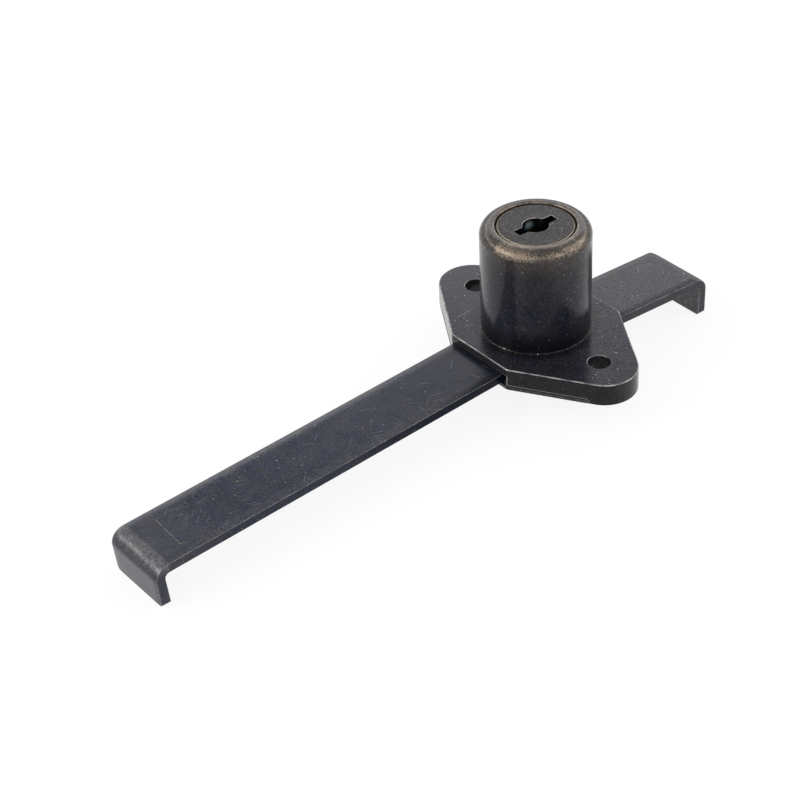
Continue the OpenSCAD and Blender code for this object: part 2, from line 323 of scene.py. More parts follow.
def combine(body: BMesh, tools: list[BMesh], how: Join) -> BMesh:
    """Adds solids to another or cuts them out.

    Args:
        body: The solid that is changed, used up.
        tools: The solids that are added or cut out, used up.
        how: Which of the two.

    Returns:
        The result.
    """
    whole = add_object("body", mesh_from("body", body))
    group = bpy.data.collections.new("tools")
    bpy.context.scene.collection.children.link(group)
    for tool in tools:
        group.objects.link(bpy.data.objects.new("tool", mesh_from("tool", tool)))
    work = whole.modifiers.new("combine", "BOOLEAN")
    work.operation = how.value
    work.solver = "EXACT"
    work.operand_type = "COLLECTION"
    work.collection = group
    graph = bpy.context.evaluated_depsgraph_get()
    made = bpy.data.meshes.new_from_object(whole.evaluated_get(graph))
    result = bmesh.new()
    result.from_mesh(made)
    bpy.data.meshes.remove(made)
    for item in (whole, *group.objects):
        mesh = item.data
        bpy.data.objects.remove(item)
        bpy.data.meshes.remove(mesh)
    bpy.data.collections.remove(group)
    bmesh.ops.remove_doubles(result, verts=result.verts[:], dist=MERGE)
    return result


def tidied(shape: BMesh) -> BMesh:
    """Joins the flat faces that lie in one plane, so that an edge can be rounded.

    Args:
        shape: The solid, changed in place.

    Returns:
        The same solid.
    """
    bmesh.ops.remove_doubles(shape, verts=shape.verts[:], dist=10 * MERGE)
    bmesh.ops.dissolve_degenerate(shape, edges=shape.edges[:], dist=10 * MERGE)
    geom = {"verts": shape.verts[:], "edges": shape.edges[:]}
    bmesh.ops.dissolve_limit(shape, angle_limit=math.radians(ONE_PLANE), **geom)
    return shape


def middle(edge: BMEdge) -> Vector:
    """Middle point of an edge."""
    return (edge.verts[0].co + edge.verts[1].co) / 2


def is_corner(edge: BMEdge) -> bool:
    """Whether two faces meet at an edge at an angle."""
    return len(edge.link_faces) == 2 and edge.calc_face_angle(0.0) > math.radians(CORNER)


def runs_along(edge: BMEdge, axis: int) -> bool:
    """Whether an edge runs along an axis."""
    way = (edge.verts[0].co - edge.verts[1].co).normalized()
    return abs(way[axis]) > 0.9


def corners(low: float = -math.inf, high: float = math.inf) -> Callable[[BMEdge], bool]:
    """Picks the corner edges whose middle lies between two heights."""
    return lambda edge: is_corner(edge) and low < middle(edge).z < high


def soften(shape: BMesh, pick: Callable, width: float, segments: int = 3, rub: float = 1.0) -> None:
    """Rounds the chosen edges and marks them as worn.

    Args:
        shape: The solid, changed in place.
        pick: Whether an edge is rounded.
        width: Width of the rounding.
        segments: Number of its strips.
        rub: How worn the new strips are, from 0 for not at all.
    """
    layers = shape.faces.layers.float
    layer = layers.get(RUB_LAYER) or layers.new(RUB_LAYER)
    made = bmesh.ops.bevel(
        shape,
        geom=[edge for edge in shape.edges if pick(edge)],
        offset=width,
        offset_type="OFFSET",
        affect="EDGES",
        segments=segments,
        profile=0.5,
        material=-1,
        clamp_overlap=True,
    )
    for face in made["faces"]:
        face[layer] = rub


def finish_piece(
    shape: BMesh, name: str, body: str, material: Material, replaces: Iterable[str], slot: str
) -> Object:
    """Makes a finished solid an object that rides on its body.

    Args:
        shape: The solid in millimetres, used up.
        name: Name of the piece.
        body: CAD body that it rides on.
        material: Its finish.
        replaces: CAD nodes that it stands for.
        slot: The record's material slot; not used.

    Returns:
        The object.
    """
    loose = sum(not edge.is_manifold for edge in shape.edges)
    bmesh.ops.scale(shape, verts=shape.verts[:], vec=(MM, MM, MM))
    mesh = mesh_from(name, shape)
    mesh.shade_smooth()
    mesh.set_sharp_from_angle(angle=math.radians(SHARP))
    mesh.materials.append(material)
    piece = add_object(name, mesh)
    even = piece.modifiers.new("even_shading", "WEIGHTED_NORMAL")
    even.mode = "FACE_AREA"
    even.weight = 50
    even.keep_sharp = True
    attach(piece, body)
    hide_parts(*replaces)
    LOG.info("%s: %d faces, %d open edges, on %s", name, len(mesh.polygons), loose, body)
    return piece


# Shader parts


def operation(name: str, swapped: bool = False) -> Callable:
    """A method that does a Math node's operation on a value and others.

    Args:
        name: The operation.
        swapped: Whether the value is the last term.

    Returns:
        The method.
    """

    def apply(self: "Value", *others: Wired) -> "Value":
        """Result of the operation."""
        terms = (*others, self) if swapped else (self, *others)
        return self.wires.take("Math", 0, dict(enumerate(terms)), operation=name)

    return apply


class Value:
    """A node's output that can be reckoned with; | gives the larger of two masks."""

    __add__ = operation("ADD")
    __sub__ = operation("SUBTRACT")
    __rsub__ = operation("SUBTRACT", swapped=True)
    __mul__ = operation("MULTIPLY")
    __truediv__ = operation("DIVIDE")
    __rtruediv__ = operation("DIVIDE", swapped=True)
    __or__ = operation("MAXIMUM")
    __lt__ = operation("LESS_THAN")
    __abs__ = operation("ABSOLUTE")
    root = operation("SQRT")
    angle = operation("ARCTAN2")

    def __init__(self, wires: "Wiring", socket: NodeSocket) -> None:
        """Keeps the socket and the wiring of its tree."""
        self.wires = wires
        self.socket = socket

    def ramp(self, low: float, high: float, start: float = 0.0, end: float = 1.0) -> "Value":
        """Smooth step from start to end as the value goes from low to high."""
        inputs = {"Value": self, "From Min": low, "From Max": high, "To Min": start, "To Max": end}
        return self.wires.take("MapRange", "Result", inputs, interpolation_type="SMOOTHSTEP")

    def noise(self, scale: Wired, detail: float, rough: float) -> "Value":
        """A noise pattern at this place."""
        inputs = {"Vector": self, "Scale": scale, "Detail": detail, "Roughness": rough}
        return self.wires.take("TexNoise", 0, inputs)

    def vector(self, name: str, other: Wired, output: Union[int, str] = 0) -> "Value":
        """Result of a Vector Math node on this vector and another."""
        return self.wires.take("VectorMath", output, {0: self, 1: other}, operation=name)

    def axis(self, name: str) -> "Value":
        """One of a vector's three numbers."""
        return self.wires.take("SeparateXYZ", name, {0: self})


class Wiring:
    """Puts nodes into a node tree and links them."""

    def __init__(self, tree: NodeTree) -> None:
        """Keeps the tree that the nodes go into."""
        self.tree = tree

    @classmethod
    def of(cls, owner: Union[Material, bpy.types.World]) -> "Wiring":
        """Wiring of a material or a world, from an empty tree.

        Args:
            owner: The material or the world.

        Returns:
            The wiring.
        """
        owner.use_nodes = True
        owner.node_tree.nodes.clear()
        return cls(owner.node_tree)

    def node(self, kind: str, inputs: Optional[dict] = None, **settings: object) -> Node:
        """Adds a node.

        Args:
            kind: Type of the node, without its ShaderNode prefix.
            inputs: What each input gets, by its name or number.
            settings: Properties of the node.

        Returns:
            The node.
        """
        made = self.tree.nodes.new("ShaderNode" + kind)
        for key, value in settings.items():
            setattr(made, key, value)
        for key, value in (inputs or {}).items():
            self.feed(made.inputs[key], value)
        return made

    def take(
        self, kind: str, output: Union[int, str], inputs: Optional[dict] = None, **settings: object
    ) -> Value:
        """Adds a node and gives one of its outputs."""
        return Value(self, self.node(kind, inputs, **settings).outputs[output])

    def feed(self, target: NodeSocket, value: Wired) -> None:
        """Gives an input a number, vector or colour, or links an output to it.

        Args:
            target: The input.
            value: What it gets.
        """
        if isinstance(value, Value):
            self.tree.links.new(value.socket, target)
        elif target.type == "RGBA":
            target.default_value = (*value, 1.0)
        else:
            target.default_value = value

    def mix(self, share: Wired, first: Wired, second: Wired) -> Value:
        """Mixes two colours.

        Args:
            share: Share of the second.
            first: First colour.
            second: Second colour.

        Returns:
            The colour.
        """
        made = self.node("Mix", data_type="RGBA", clamp_factor=True)
        ends = {end.identifier: end for end in (*made.inputs, *made.outputs)}
        for key, value in (("Factor_Float", share), ("A_Color", first), ("B_Color", second)):
            self.feed(ends[key], value)
        return Value(self, ends["Result_Color"])

    def blend(self, share: Value, first: Value, second: Value) -> Value:
        """Mixes two shaders."""
        return self.take("MixShader", 0, {0: share, 1: first, 2: second})

    def cells(self, place: Value, scale: Wired, **settings: object) -> tuple[Value, Value]:
        """Distance from the middle of a cell pattern's cell, and the cell's own chance.

        Args:
            place: Place in the pattern.
            scale: Cells in each millimetre.
            settings: Properties of the pattern.

        Returns:
            Both values.
        """
        made = self.node("TexVoronoi", {"Vector": place, "Scale": scale}, **settings)
        away, colour = (Value(self, made.outputs[name]) for name in ("Distance", "Color"))
        return away, self.take("SeparateColor", 0, {0: colour})

    def own_place(self) -> Value:
        """The surface's own place on the lock, in millimetres."""
        own = self.take("TexCoord", "Object")
        return self.take("Mapping", 0, {"Vector": own, "Scale": (1 / MM,) * 3})


Given = dict[str, Value]


class Effects:
    """The node groups that the finishes share. Places are in millimetres."""

    def __init__(self) -> None:
        """Builds every group."""
        sizes = {"Cloud Size": 4.0, "Grain Size": 0.3}
        self.mottle = self._group("mottle", self._mottle, sizes)
        self.edges = self._group("edge_wear", self._edges, {"Width": 0.4, "Cover": 0.5})
        hair = {"Size": 6.0, "Thin": 0.005, "Share": 0.5}
        self.hairs = self._group("hair_scratches", self._hairs, hair)
        speck = {"Spacing": 0.9, "Size": 0.13, "Share": 0.1}
        self.specks = self._group("specks", self._specks, speck)
        line = {"From": None, "To": None, "Width": 0.1}
        self.scratch = self._group("one_scratch", self._scratch, line)

    @staticmethod
    def _group(name: str, paint: Callable[[Wiring, Given], Given], inputs: dict) -> NodeTree:
        """Builds one group.

        Args:
            name: Name of the group.
            paint: Makes the group's outputs from its wiring and its inputs.
            inputs: Default of each input besides Place; None marks a vector.

        Returns:
            The group.
        """
        tree = bpy.data.node_groups.new(name, "ShaderNodeTree")
        for key, value in {"Place": None, **inputs}.items():
            kind = "NodeSocketVector" if value is None else "NodeSocketFloat"
            made = tree.interface.new_socket(name=key, in_out="INPUT", socket_type=kind)
            if value is not None:
                made.default_value = value
        wires = Wiring(tree)
        given = tree.nodes.new("NodeGroupInput").outputs
        results = paint(wires, {key: Value(wires, given[key]) for key in ("Place", *inputs)})
        for key in results:
            tree.interface.new_socket(name=key, in_out="OUTPUT", socket_type="NodeSocketFloat")
        ends = tree.nodes.new("NodeGroupOutput").inputs
        for key, value in results.items():
            wires.feed(ends[key], value)
        return tree

    @staticmethod
    def _mottle(wires: Wiring, given: Given) -> Given:
        """Clouds and grain of a chemically blackened surface.

        Args:
            wires: Wiring of the group; not used.
            given: The group's inputs.

        Returns:
            The group's outputs, by name.
        """
        cloud = given["Place"].noise(1.0 / given["Cloud Size"], 5.0, 0.6)
        grain = given["Place"].noise(1.0 / given["Grain Size"], 3.0, 0.7)
        return {"Cloud": cloud.ramp(0.3, 0.7), "Grain": grain.ramp(0.3, 0.7)}

    @staticmethod
    def _edges(wires: Wiring, given: Given) -> Given:
        """Wear close to the piece's corners, broken up by a fine pattern.

        Args:
            wires: Wiring of the group.
            given: The group's inputs.

        Returns:
            The group's outputs, by name.
        """
        rounded = wires.take("Bevel", 0, {"Radius": given["Width"] * MM}, samples=4)
        flat = wires.take("NewGeometry", "Normal")
        near = rounded.vector("DOT_PRODUCT", flat, "Value").ramp(0.995, 0.86)
        broken = near + given["Place"].noise(2.2, 6.0, 0.7) - (1.0 - given["Cover"])
        return {"Mask": broken.ramp(0.35, 1.0) * near}

    @classmethod
    def _hairs(cls, wires: Wiring, given: Given) -> Given:
        """Thin curved hairs, and short straight scratches on faces that look up.

        Args:
            wires: Wiring of the group.
            given: The group's inputs.

        Returns:
            The group's outputs, by name.
        """
        total = cls._straight(wires, given)
        for scale, shift in ((0.8, (0.0, 0.0, 0.0)), (1.3, (31.0, 7.0, 3.0))):
            place = given["Place"].vector("ADD", shift)
            bend = place.noise(scale / given["Size"], 1.0, 0.4)
            line = (1.0 - abs(bend - 0.5) / given["Thin"]) | 0.0
            gate = place.vector("ADD", (9.0, 2.0, 5.0)).noise(0.3, 2.0, 0.5)
            gate = (gate - (0.72 - given["Share"] * 0.3)).ramp(0.0, 0.08, 0.0, 0.8)
            total = total | line * gate
        return {"Mask": total}

    @staticmethod
    def _straight(wires: Wiring, given: Given) -> Value:
        """Mask of short straight scratches in three directions on faces that look up.

        Args:
            wires: Wiring of the group.
            given: The group's inputs.

        Returns:
            The mask.
        """
        masks = []
        for degrees in (24.0, 83.0, 141.0):
            turn = (0.0, 0.0, math.radians(degrees))
            place = wires.take("Mapping", 0, {"Vector": given["Place"], "Rotation": turn})
            long = place.vector("MULTIPLY", (0.075, 1.9, 0.0))
            away, chance = wires.cells(long, 1.0, voronoi_dimensions="2D")
            masks.append(away.ramp(0.13, 0.02) * (chance < given["Share"] * 0.3))
        up = wires.take("NewGeometry", "Normal").axis("Z")
        return (masks[0] | masks[1] | masks[2]) * up.ramp(0.8, 0.97)

    @staticmethod
    def _specks(wires: Wiring, given: Given) -> Given:
        """Scattered small dots of dust and bare metal.

        Args:
            wires: Wiring of the group.
            given: The group's inputs.

        Returns:
            The group's outputs, by name.
        """
        scale = 1.0 / given["Spacing"]
        wobble = wires.take("TexNoise", "Color", {"Vector": given["Place"], "Scale": 3.0})
        inputs = {0: wobble, 1: (0.1, 0.1, 0.1), 2: given["Place"]}
        place = wires.take("VectorMath", 0, inputs, operation="MULTIPLY_ADD")
        away, chance = wires.cells(place, scale, feature="F1")
        dot = (away / (given["Size"] * scale)).ramp(1.0, 0.4)
        return {"Mask": dot * (chance < given["Share"])}

    @staticmethod
    def _scratch(wires: Wiring, given: Given) -> Given:
        """One straight scratch between two points, seen from above.

        Args:
            wires: Wiring of the group.
            given: The group's inputs.

        Returns:
            The group's outputs, by name.
        """
        away = given["Place"].vector("MULTIPLY", (1, 1, 0)).vector("SUBTRACT", given["From"])
        along = given["To"].vector("SUBTRACT", given["From"])
        reach, whole = (way.vector("DOT_PRODUCT", along, "Value") for way in (away, along))
        share = wires.take("Math", 0, {0: reach, 1: whole}, operation="DIVIDE", use_clamp=True)
        foot = wires.take("VectorMath", 0, {0: along, "Scale": share}, operation="SCALE")
        line = (away.vector("DISTANCE", foot, "Value") / given["Width"]).ramp(1.0, 0.2)
        return {"Mask": line * given["Place"].noise(1.3, 3.0, 0.6).ramp(0.3, 0.55)}


class Surface:
    """What a finish is painted with: a material's wiring, the effects and the place."""

    def __init__(self, name: str, effects: Effects) -> None:
        """Opens a new material."""
        self.material = bpy.data.materials.new(name)
        self.wires = Wiring.of(self.material)
        self.effects = effects
        self.place = self.wires.own_place()
        self.x, self.y, self.z = (self.place.axis(name) for name in "XYZ")
        self.noise, self.mix = self.place.noise, self.wires.mix

    @property
    def radius(self) -> Value:
        """Distance from the barrel's axis."""
        return (self.x * self.x + self.y * self.y).root()

    def effect(self, tree: NodeTree, inputs: dict, output: str = "Mask") -> Value:
        """One output of a shared effect at the surface's place.

        Args:
            tree: The effect's group.
            inputs: What its other inputs get.
            output: Name of the output.

        Returns:
            The output.
        """
        made = self.wires.node("Group")
        made.node_tree = tree
        for key, value in {"Place": self.place, **inputs}.items():
            self.wires.feed(made.inputs[key], value)
        return Value(self.wires, made.outputs[output])

    def finish(self, inputs: dict, height: Value, bump: float) -> Material:
        """Adds the shader.

        Args:
            inputs: What the shader's inputs get, besides its normal.
            height: Relief of the surface, from 0 to 1.
            bump: Height of the relief in millimetres.

        Returns:
            The material.
        """
        relief = {"Height": height, "Distance": bump * MM, "Strength": 1.0}
        inputs["Normal"] = self.wires.take("Bump", 0, relief)
        shader = self.wires.take("BsdfPrincipled", 0, inputs)
        self.wires.node("OutputMaterial", {"Surface": shader})
        return self.material


@dataclass(frozen=True)
class PlatedMetal:
    """A dark coating over bare metal that shows where it is worn, with painted shade and painted
    sheen in places.

    Attributes:
        name: Name of the finish.
        slot: The record's material slot.
        dark: Colour of the coating where it is deepest, also laid dimmed as painted shade.
        pale: Colour of the coating where it is thinnest.
        warm: Colour of its brownish clouds.
        rubbed_and_sheen: Colour of the broad worn places, and of the bar's painted sheen.
        edge: Colour of the metal along the edges.
        roughness: Roughness of the coating.
        cloud: Size of the coating's clouds, in millimetres.
        grain: Size of its grain, in millimetres.
        fleck: How strongly the grain shows.
        warmth: How far the brownish clouds cover it.
        edge_share: How bare the rounded edges are.
        hairs: Share of the surface with hair scratches.
        specks: Share of the cells with a speck.
        bump: Height of the grain, in millimetres.
        zone: Part whose own places of wear it shows.
        scratch: Ends of one long scratch, in millimetres.
    """

    name: str
    slot: str
    dark: tuple
    pale: tuple
    warm: tuple
    rubbed_and_sheen: tuple
    edge: tuple = (0.46, 0.45, 0.44)
    roughness: float = 0.24
    cloud: float = 4.0
    grain: float = 0.6
    fleck: float = 0.4
    warmth: float = 0.35
    edge_share: float = 0.85
    hairs: float = 0.4
    specks: float = 0.2
    bump: float = 0.008
    zone: Zone = Zone.NONE
    scratch: Optional[tuple] = None

    def material(self, effects: Effects) -> Material:
        """Builds the finish.

        Args:
            effects: The shared node groups.

        Returns:
            The material.
        """
        on = Surface(self.name, effects)
        sizes = {"Cloud Size": self.cloud, "Grain Size": self.grain}
        cloud, grain = (on.effect(effects.mottle, sizes, name) for name in ("Cloud", "Grain"))
        rubbed_and_sheen, edges = self._zone_mask(on), self._edge_mask(on)
        marks, hair = self._marks(on)
        colour = self._coating(on, cloud, grain)
        # The zone's mask is wear, and on the bar also painted sheen.
        for mask, paint in ((rubbed_and_sheen, self.rubbed_and_sheen), (edges, self.edge), (marks, MARK_GREY)):
            colour = on.mix(mask, colour, paint)
        if self.zone is Zone.PLUG:
            # Painted shade inside the key slot, with one painted reflection on its wall.
            colour = self._slot_shade_and_reflection(on, colour)
        inputs = {
            "Base Color": colour,
            "Roughness": cloud * 0.08 + grain * 0.06 + rubbed_and_sheen * 0.22 + (self.roughness - 0.04),
            "Metallic": (rubbed_and_sheen | edges | marks) * 0.6 + 0.4,
            "Specular IOR Level": 0.3,
        }
        return on.finish(inputs, grain - hair * 0.6, self.bump)

    def _coating(self, on: Surface, cloud: Value, grain: Value) -> Value:
        """Colour of the coating before anything has worn it, with painted shade laid over it.

        Args:
            on: The surface.
            cloud: The coating's clouds.
            grain: The coating's grain.

        Returns:
            The colour.
        """
        brown = on.place.vector("ADD", (17.0, 3.0, 8.0)).noise(0.3, 4.0, 0.65)
        brown = brown.ramp(0.4, 0.7) * self.warmth
        if self.zone is Zone.BARREL:
            upper = on.noise(0.5, 5.0, 0.7).ramp(0.3, 0.6, 0.3, 1.0)
            upper = upper * on.z.ramp(5.0, 20.0, 0.0, 0.5)
            sides = on.z.ramp(-0.1, -0.4) * on.noise(0.6, 6.0, 0.75)
            brown = brown | upper | sides
        layers = (
            (brown, self.warm, 1.0),
            (grain.ramp(0.5, 0.0, 0.0, self.fleck), self.dark, 0.35),
            (grain.ramp(0.6, 1.0, 0.0, self.fleck), self.pale, 2.0),
            # Painted shade on the barrel's foot and the plug face's front; on the bar, darker
            # towards the flange.
            (self._painted_shade(on), self.dark, 0.2),
        )
        colour = on.mix(cloud, self.dark, self.pale)
        for mask, paint, level in layers:
            colour = on.mix(mask, colour, tuple(part * level for part in paint))
        return colour

    def _painted_shade(self, on: Surface) -> Wired:
        """Mask of painted shade: the barrel's lower part and the flange round it, and the front of
        the plug's face; on the bar, darker towards the flange.

        Args:
            on: The surface.

        Returns:
            The mask, from 0 to 1.
        """
        if self.zone is Zone.BARREL:
            # Painted shade on the barrel's lower part and the flange round it.
            return on.radius.ramp(13.5, 11.0) * on.z.ramp(6.0, 1.0, 0.0, 0.8)
        if self.zone is Zone.PLUG:
            # Painted shade, darker towards the front of the plug's face.
            return (on.x + on.y).ramp(3.0, -9.0, 0.0, 0.55)
        if self.zone is Zone.BAR:
            # Darker towards the flange.
            return on.x.ramp(-50.0, -14.0, 0.0, 0.45)
        return 0.0

    def _marks(self, on: Surface) -> tuple[Value, Value]:
        """Mask of the scratches and dust, and of the fine scratches alone.

        Args:
            on: The surface.

        Returns:
            Both masks.
        """
        hair = on.effect(on.effects.hairs, {"Share": self.hairs})
        marks = hair * 0.16 | on.effect(on.effects.specks, {"Share": self.specks}) * 0.75
        if self.scratch:
            ends = {"From": (*self.scratch[0], 0), "To": (*self.scratch[1], 0), "Width": 0.13}
            marks = marks | on.effect(on.effects.scratch, ends) * 0.2
        return marks, hair

    def _edge_mask(self, on: Surface) -> Value:
        """Mask of the bare metal along the edges.

        Args:
            on: The surface.

        Returns:
            The mask, from 0 to 1.
        """
        near = on.effect(on.effects.edges, {"Width": 0.3, "Cover": 0.4})
        strips = on.wires.take("Attribute", "Fac", attribute_name=RUB_LAYER)
        strips = strips * on.noise(0.35, 4.0, 0.65).ramp(0.32, 0.68, 0.2, 1.0) * self.edge_share
        if self.zone is not Zone.BARREL:
            return near * 0.1 | strips
        side = abs(on.y)
        mouth = side.ramp(8.36, 8.2) * on.z.ramp(-1.4, -1.8) * on.radius.ramp(16.4, 16.6, 0.0, 0.5)
        foot = on.z.ramp(-3.55, -3.68) * side.ramp(22.1, 21.9, 0.0, 0.5)
        return near * on.z.ramp(-0.3, -0.8, 0.08, 0.6) | mouth | foot | strips

    def _zone_mask(self, on: Surface) -> Value:
        """Mask of the broad wear that belongs to one part, and of the bar's painted sheen.

        Args:
            on: The surface.

        Returns:
            The mask, from 0 to 1.
        """
        own = {Zone.BARREL: self._rim_mask, Zone.PLUG: self._face_mask, Zone.BAR: self._bend_wear_and_sheen_mask}
        if self.zone in own:
            return own[self.zone](on)
        return on.noise(0.25, 5.0, 0.7).ramp(0.55, 0.75, 0.0, 0.2)

    @staticmethod
    def _rim_mask(on: Surface) -> Value:
        """Wear of the barrel's rounded rim, strongest towards two sides.

        Args:
            on: The surface.

        Returns:
            The mask, from 0 to 1.
        """
        radius, z, angle = on.radius, on.z, on.y.angle(on.x)
        lobes = ((-2.8, 2.0), (-1.6, 1.0))
        left, front = (abs(angle - way).ramp(0.65, 0.05, 0.0, share) for way, share in lobes)
        speck = on.noise(3.2, 4.0, 0.9).ramp(0.44, 0.58, 0.05, 1.3)
        broad = on.noise(0.7, 3.0, 0.6).ramp(0.25, 0.65, 0.5, 1.0)
        rim = z.ramp(20.7, 22.1) * z.ramp(22.98, 22.5, 0.4, 1.0) * ((left | front) + 0.4)
        rim = rim * speck * broad
        below = z.ramp(17.0, 21.0) * speck.ramp(0.75, 1.0, 0.0, 0.25)
        lip = radius.ramp(8.32, 8.2) * z.ramp(22.76, 22.84)
        lip = lip * on.noise(0.4, 3.0, 0.6).ramp(0.3, 0.6, 0.2, 0.9)
        ring = radius.ramp(12.0, 11.3) * z.ramp(0.5, 0.1)
        return rim | below | lip | ring * on.noise(1.6, 5.0, 0.8).ramp(0.5, 0.66, 0.0, 0.4)

    @staticmethod
    def _face_mask(on: Surface) -> Value:
        """Wear of the plug's face and the bright line at its edge.

        Args:
            on: The surface.

        Returns:
            The mask, from 0 to 1.
        """
        line = on.radius.ramp(7.4, 7.46) * on.noise(0.4, 3.0, 0.6).ramp(0.3, 0.6, 0.6, 1.0)
        haze = on.noise(2.0, 4.0, 0.9).ramp(0.48, 0.62, 0.0, 0.17)
        return on.z.ramp(22.55, 22.7) * (line | haze)

    @staticmethod
    def _bend_wear_and_sheen_mask(on: Surface) -> Value:
        """Wear of the bar's long arm at its bend and along its rolled edge, with painted sheen: the
        worn bend doubles as a painted highlight, the long arm's end and the short arm are lightened
        as painted reflection, and the short hook's inner face gets a painted reflection of the
        floor.

        Args:
            on: The surface.

        Returns:
            The mask, from 0 to 1.
        """
        x, z = on.x, on.z
        # Worn bend, also a painted highlight.
        bend = x.ramp(-94.6, -96.0) * z.ramp(-4.4, -2.4) * 1.1
        off = abs(on.y - (x * 0.0419 + 0.99))
        edge = off.ramp(4.6, 6.9) * x.ramp(-14.0, -40.0, 0.2, 1.0)
        edge = edge * z.ramp(-1.95, -1.85, 0.0, 0.4) * x.ramp(-9.0, -12.0)
        # Painted reflection: lighter towards the long arm's end and along the short arm.
        haze = x.ramp(-80.0, -95.0, 0.0, 0.25) | x.ramp(12.0, 18.0, 0.0, 0.35)
        # Painted reflection of the floor on the short hook's inner face.
        inner = x.ramp(34.0, 35.5) * x.ramp(37.6, 37.1) * z.ramp(-4.2, -5.2, 0.0, 0.7)
        patch = on.noise(1.2, 6.0, 0.75).ramp(0.3, 0.7, 0.3, 1.0)
        return (bend | edge | haze | inner) * patch * 0.6

    @staticmethod
    def _slot_shade_and_reflection(on: Surface, colour: Value) -> Value:
        """Paints shade into the key slot's inside, but for one pale patch on its wall, a painted
        reflection.

        Args:
            on: The surface.
            colour: Colour outside the slot.

        Returns:
            The colour with the slot's inside.
        """
        # Painted shade deep in the key slot.
        deep = on.z.ramp(22.69, 22.62) * on.radius.ramp(5.6, 5.2)
        # Painted reflection: one pale patch on the slot's wall.
        patch = on.place.vector("DISTANCE", (0.4, 2.5, 21.4), "Value").ramp(1.3, 0.2)
        return on.mix(deep, colour, on.mix(patch, (0.004, 0.004, 0.006), (0.2, 0.25, 0.27)))


@dataclass(frozen=True)
class BrightMetal:
    """An unplated metal with a stamped or drawn surface.

    Attributes:
        name: Name of the finish.
        slot: The record's material slot.
        colour: Colour of the clean metal.
        stain: Colour of its tarnish.
        roughness: Its roughness.
        grain: Size of its surface pattern, in millimetres.
    """

    name: str
    slot: str
    colour: tuple
    stain: tuple
    roughness: float = 0.3
    grain: float = 0.2

    def material(self, effects: Effects) -> Material:
        """Builds the finish.

        Args:
            effects: The shared node groups.

        Returns:
            The material.
        """
        on = Surface(self.name, effects)
        sizes = {"Cloud Size": 2.0, "Grain Size": self.grain}
        cloud, grain = (on.effect(effects.mottle, sizes, name) for name in ("Cloud", "Grain"))
        hair = on.effect(effects.hairs, {"Size": 3.0, "Share": 0.8})
        inputs = {
            "Base Color": on.mix(cloud.ramp(0.35, 1.0) * 0.6, self.colour, self.stain),
            "Roughness": cloud * 0.15 + hair * 0.1 + self.roughness,
            "Metallic": 1.0,
        }
        return on.finish(inputs, grain, 0.008)


HOUSING_BLACK = PlatedMetal(
    "housing_black_bronze",
    "housing_black",
    dark=(0.0122, 0.0142, 0.0235),
    pale=(0.02, 0.0215, 0.029),
    warm=(0.034, 0.027, 0.021),
    rubbed_and_sheen=(0.275, 0.222, 0.165),
    roughness=0.13,
    hairs=0.12,
    specks=0.35,
    zone=Zone.BARREL,
    scratch=((-10.3, 12.0), (-6.2, 12.2)),
)
BAR_BLACK = PlatedMetal(
    "bar_black_bronze",
    "bar_black",
    dark=(0.0065, 0.0105, 0.024),
    pale=(0.0125, 0.0168, 0.032),
    warm=(0.03, 0.024, 0.021),
    warmth=0.5,
    rubbed_and_sheen=(0.215, 0.205, 0.202),
    roughness=0.18,
    cloud=5.0,
    grain=0.45,
    fleck=0.6,
    edge_share=0.9,
    bump=0.01,
    specks=0.15,
    zone=Zone.BAR,
    scratch=((-90.4, 1.5), (-90.8, -7.2)),
)
PLATE_BLACK = PlatedMetal(
    "plate_dark_steel",
    "back_steel",
    dark=(0.045, 0.046, 0.05),
    pale=(0.07, 0.07, 0.073),
    warm=(0.075, 0.066, 0.058),
    rubbed_and_sheen=(0.16, 0.15, 0.14),
    roughness=0.3,
    edge_share=0.35,
    hairs=0.7,
)
PLUG_BRONZE = PlatedMetal(
    "plug_grey_bronze",
    "plug_bronze",
    dark=(0.0065, 0.0065, 0.0105),
    pale=(0.014, 0.0138, 0.0185),
    warm=(0.036, 0.03, 0.026),
    rubbed_and_sheen=(0.4, 0.35, 0.27),
    roughness=0.3,
    cloud=2.5,
    grain=0.4,
    fleck=0.8,
    hairs=0.2,
    specks=0.4,
    bump=0.03,
    zone=Zone.PLUG,
)
WAFER_BRASS = BrightMetal("stamped_brass", "wafer_brass", (0.72, 0.55, 0.28), (0.42, 0.3, 0.16))
SPRING_WIRE = BrightMetal(
    "drawn_wire", "spring_steel", (0.55, 0.56, 0.58), (0.36, 0.35, 0.34), roughness=0.25, grain=0.08
)


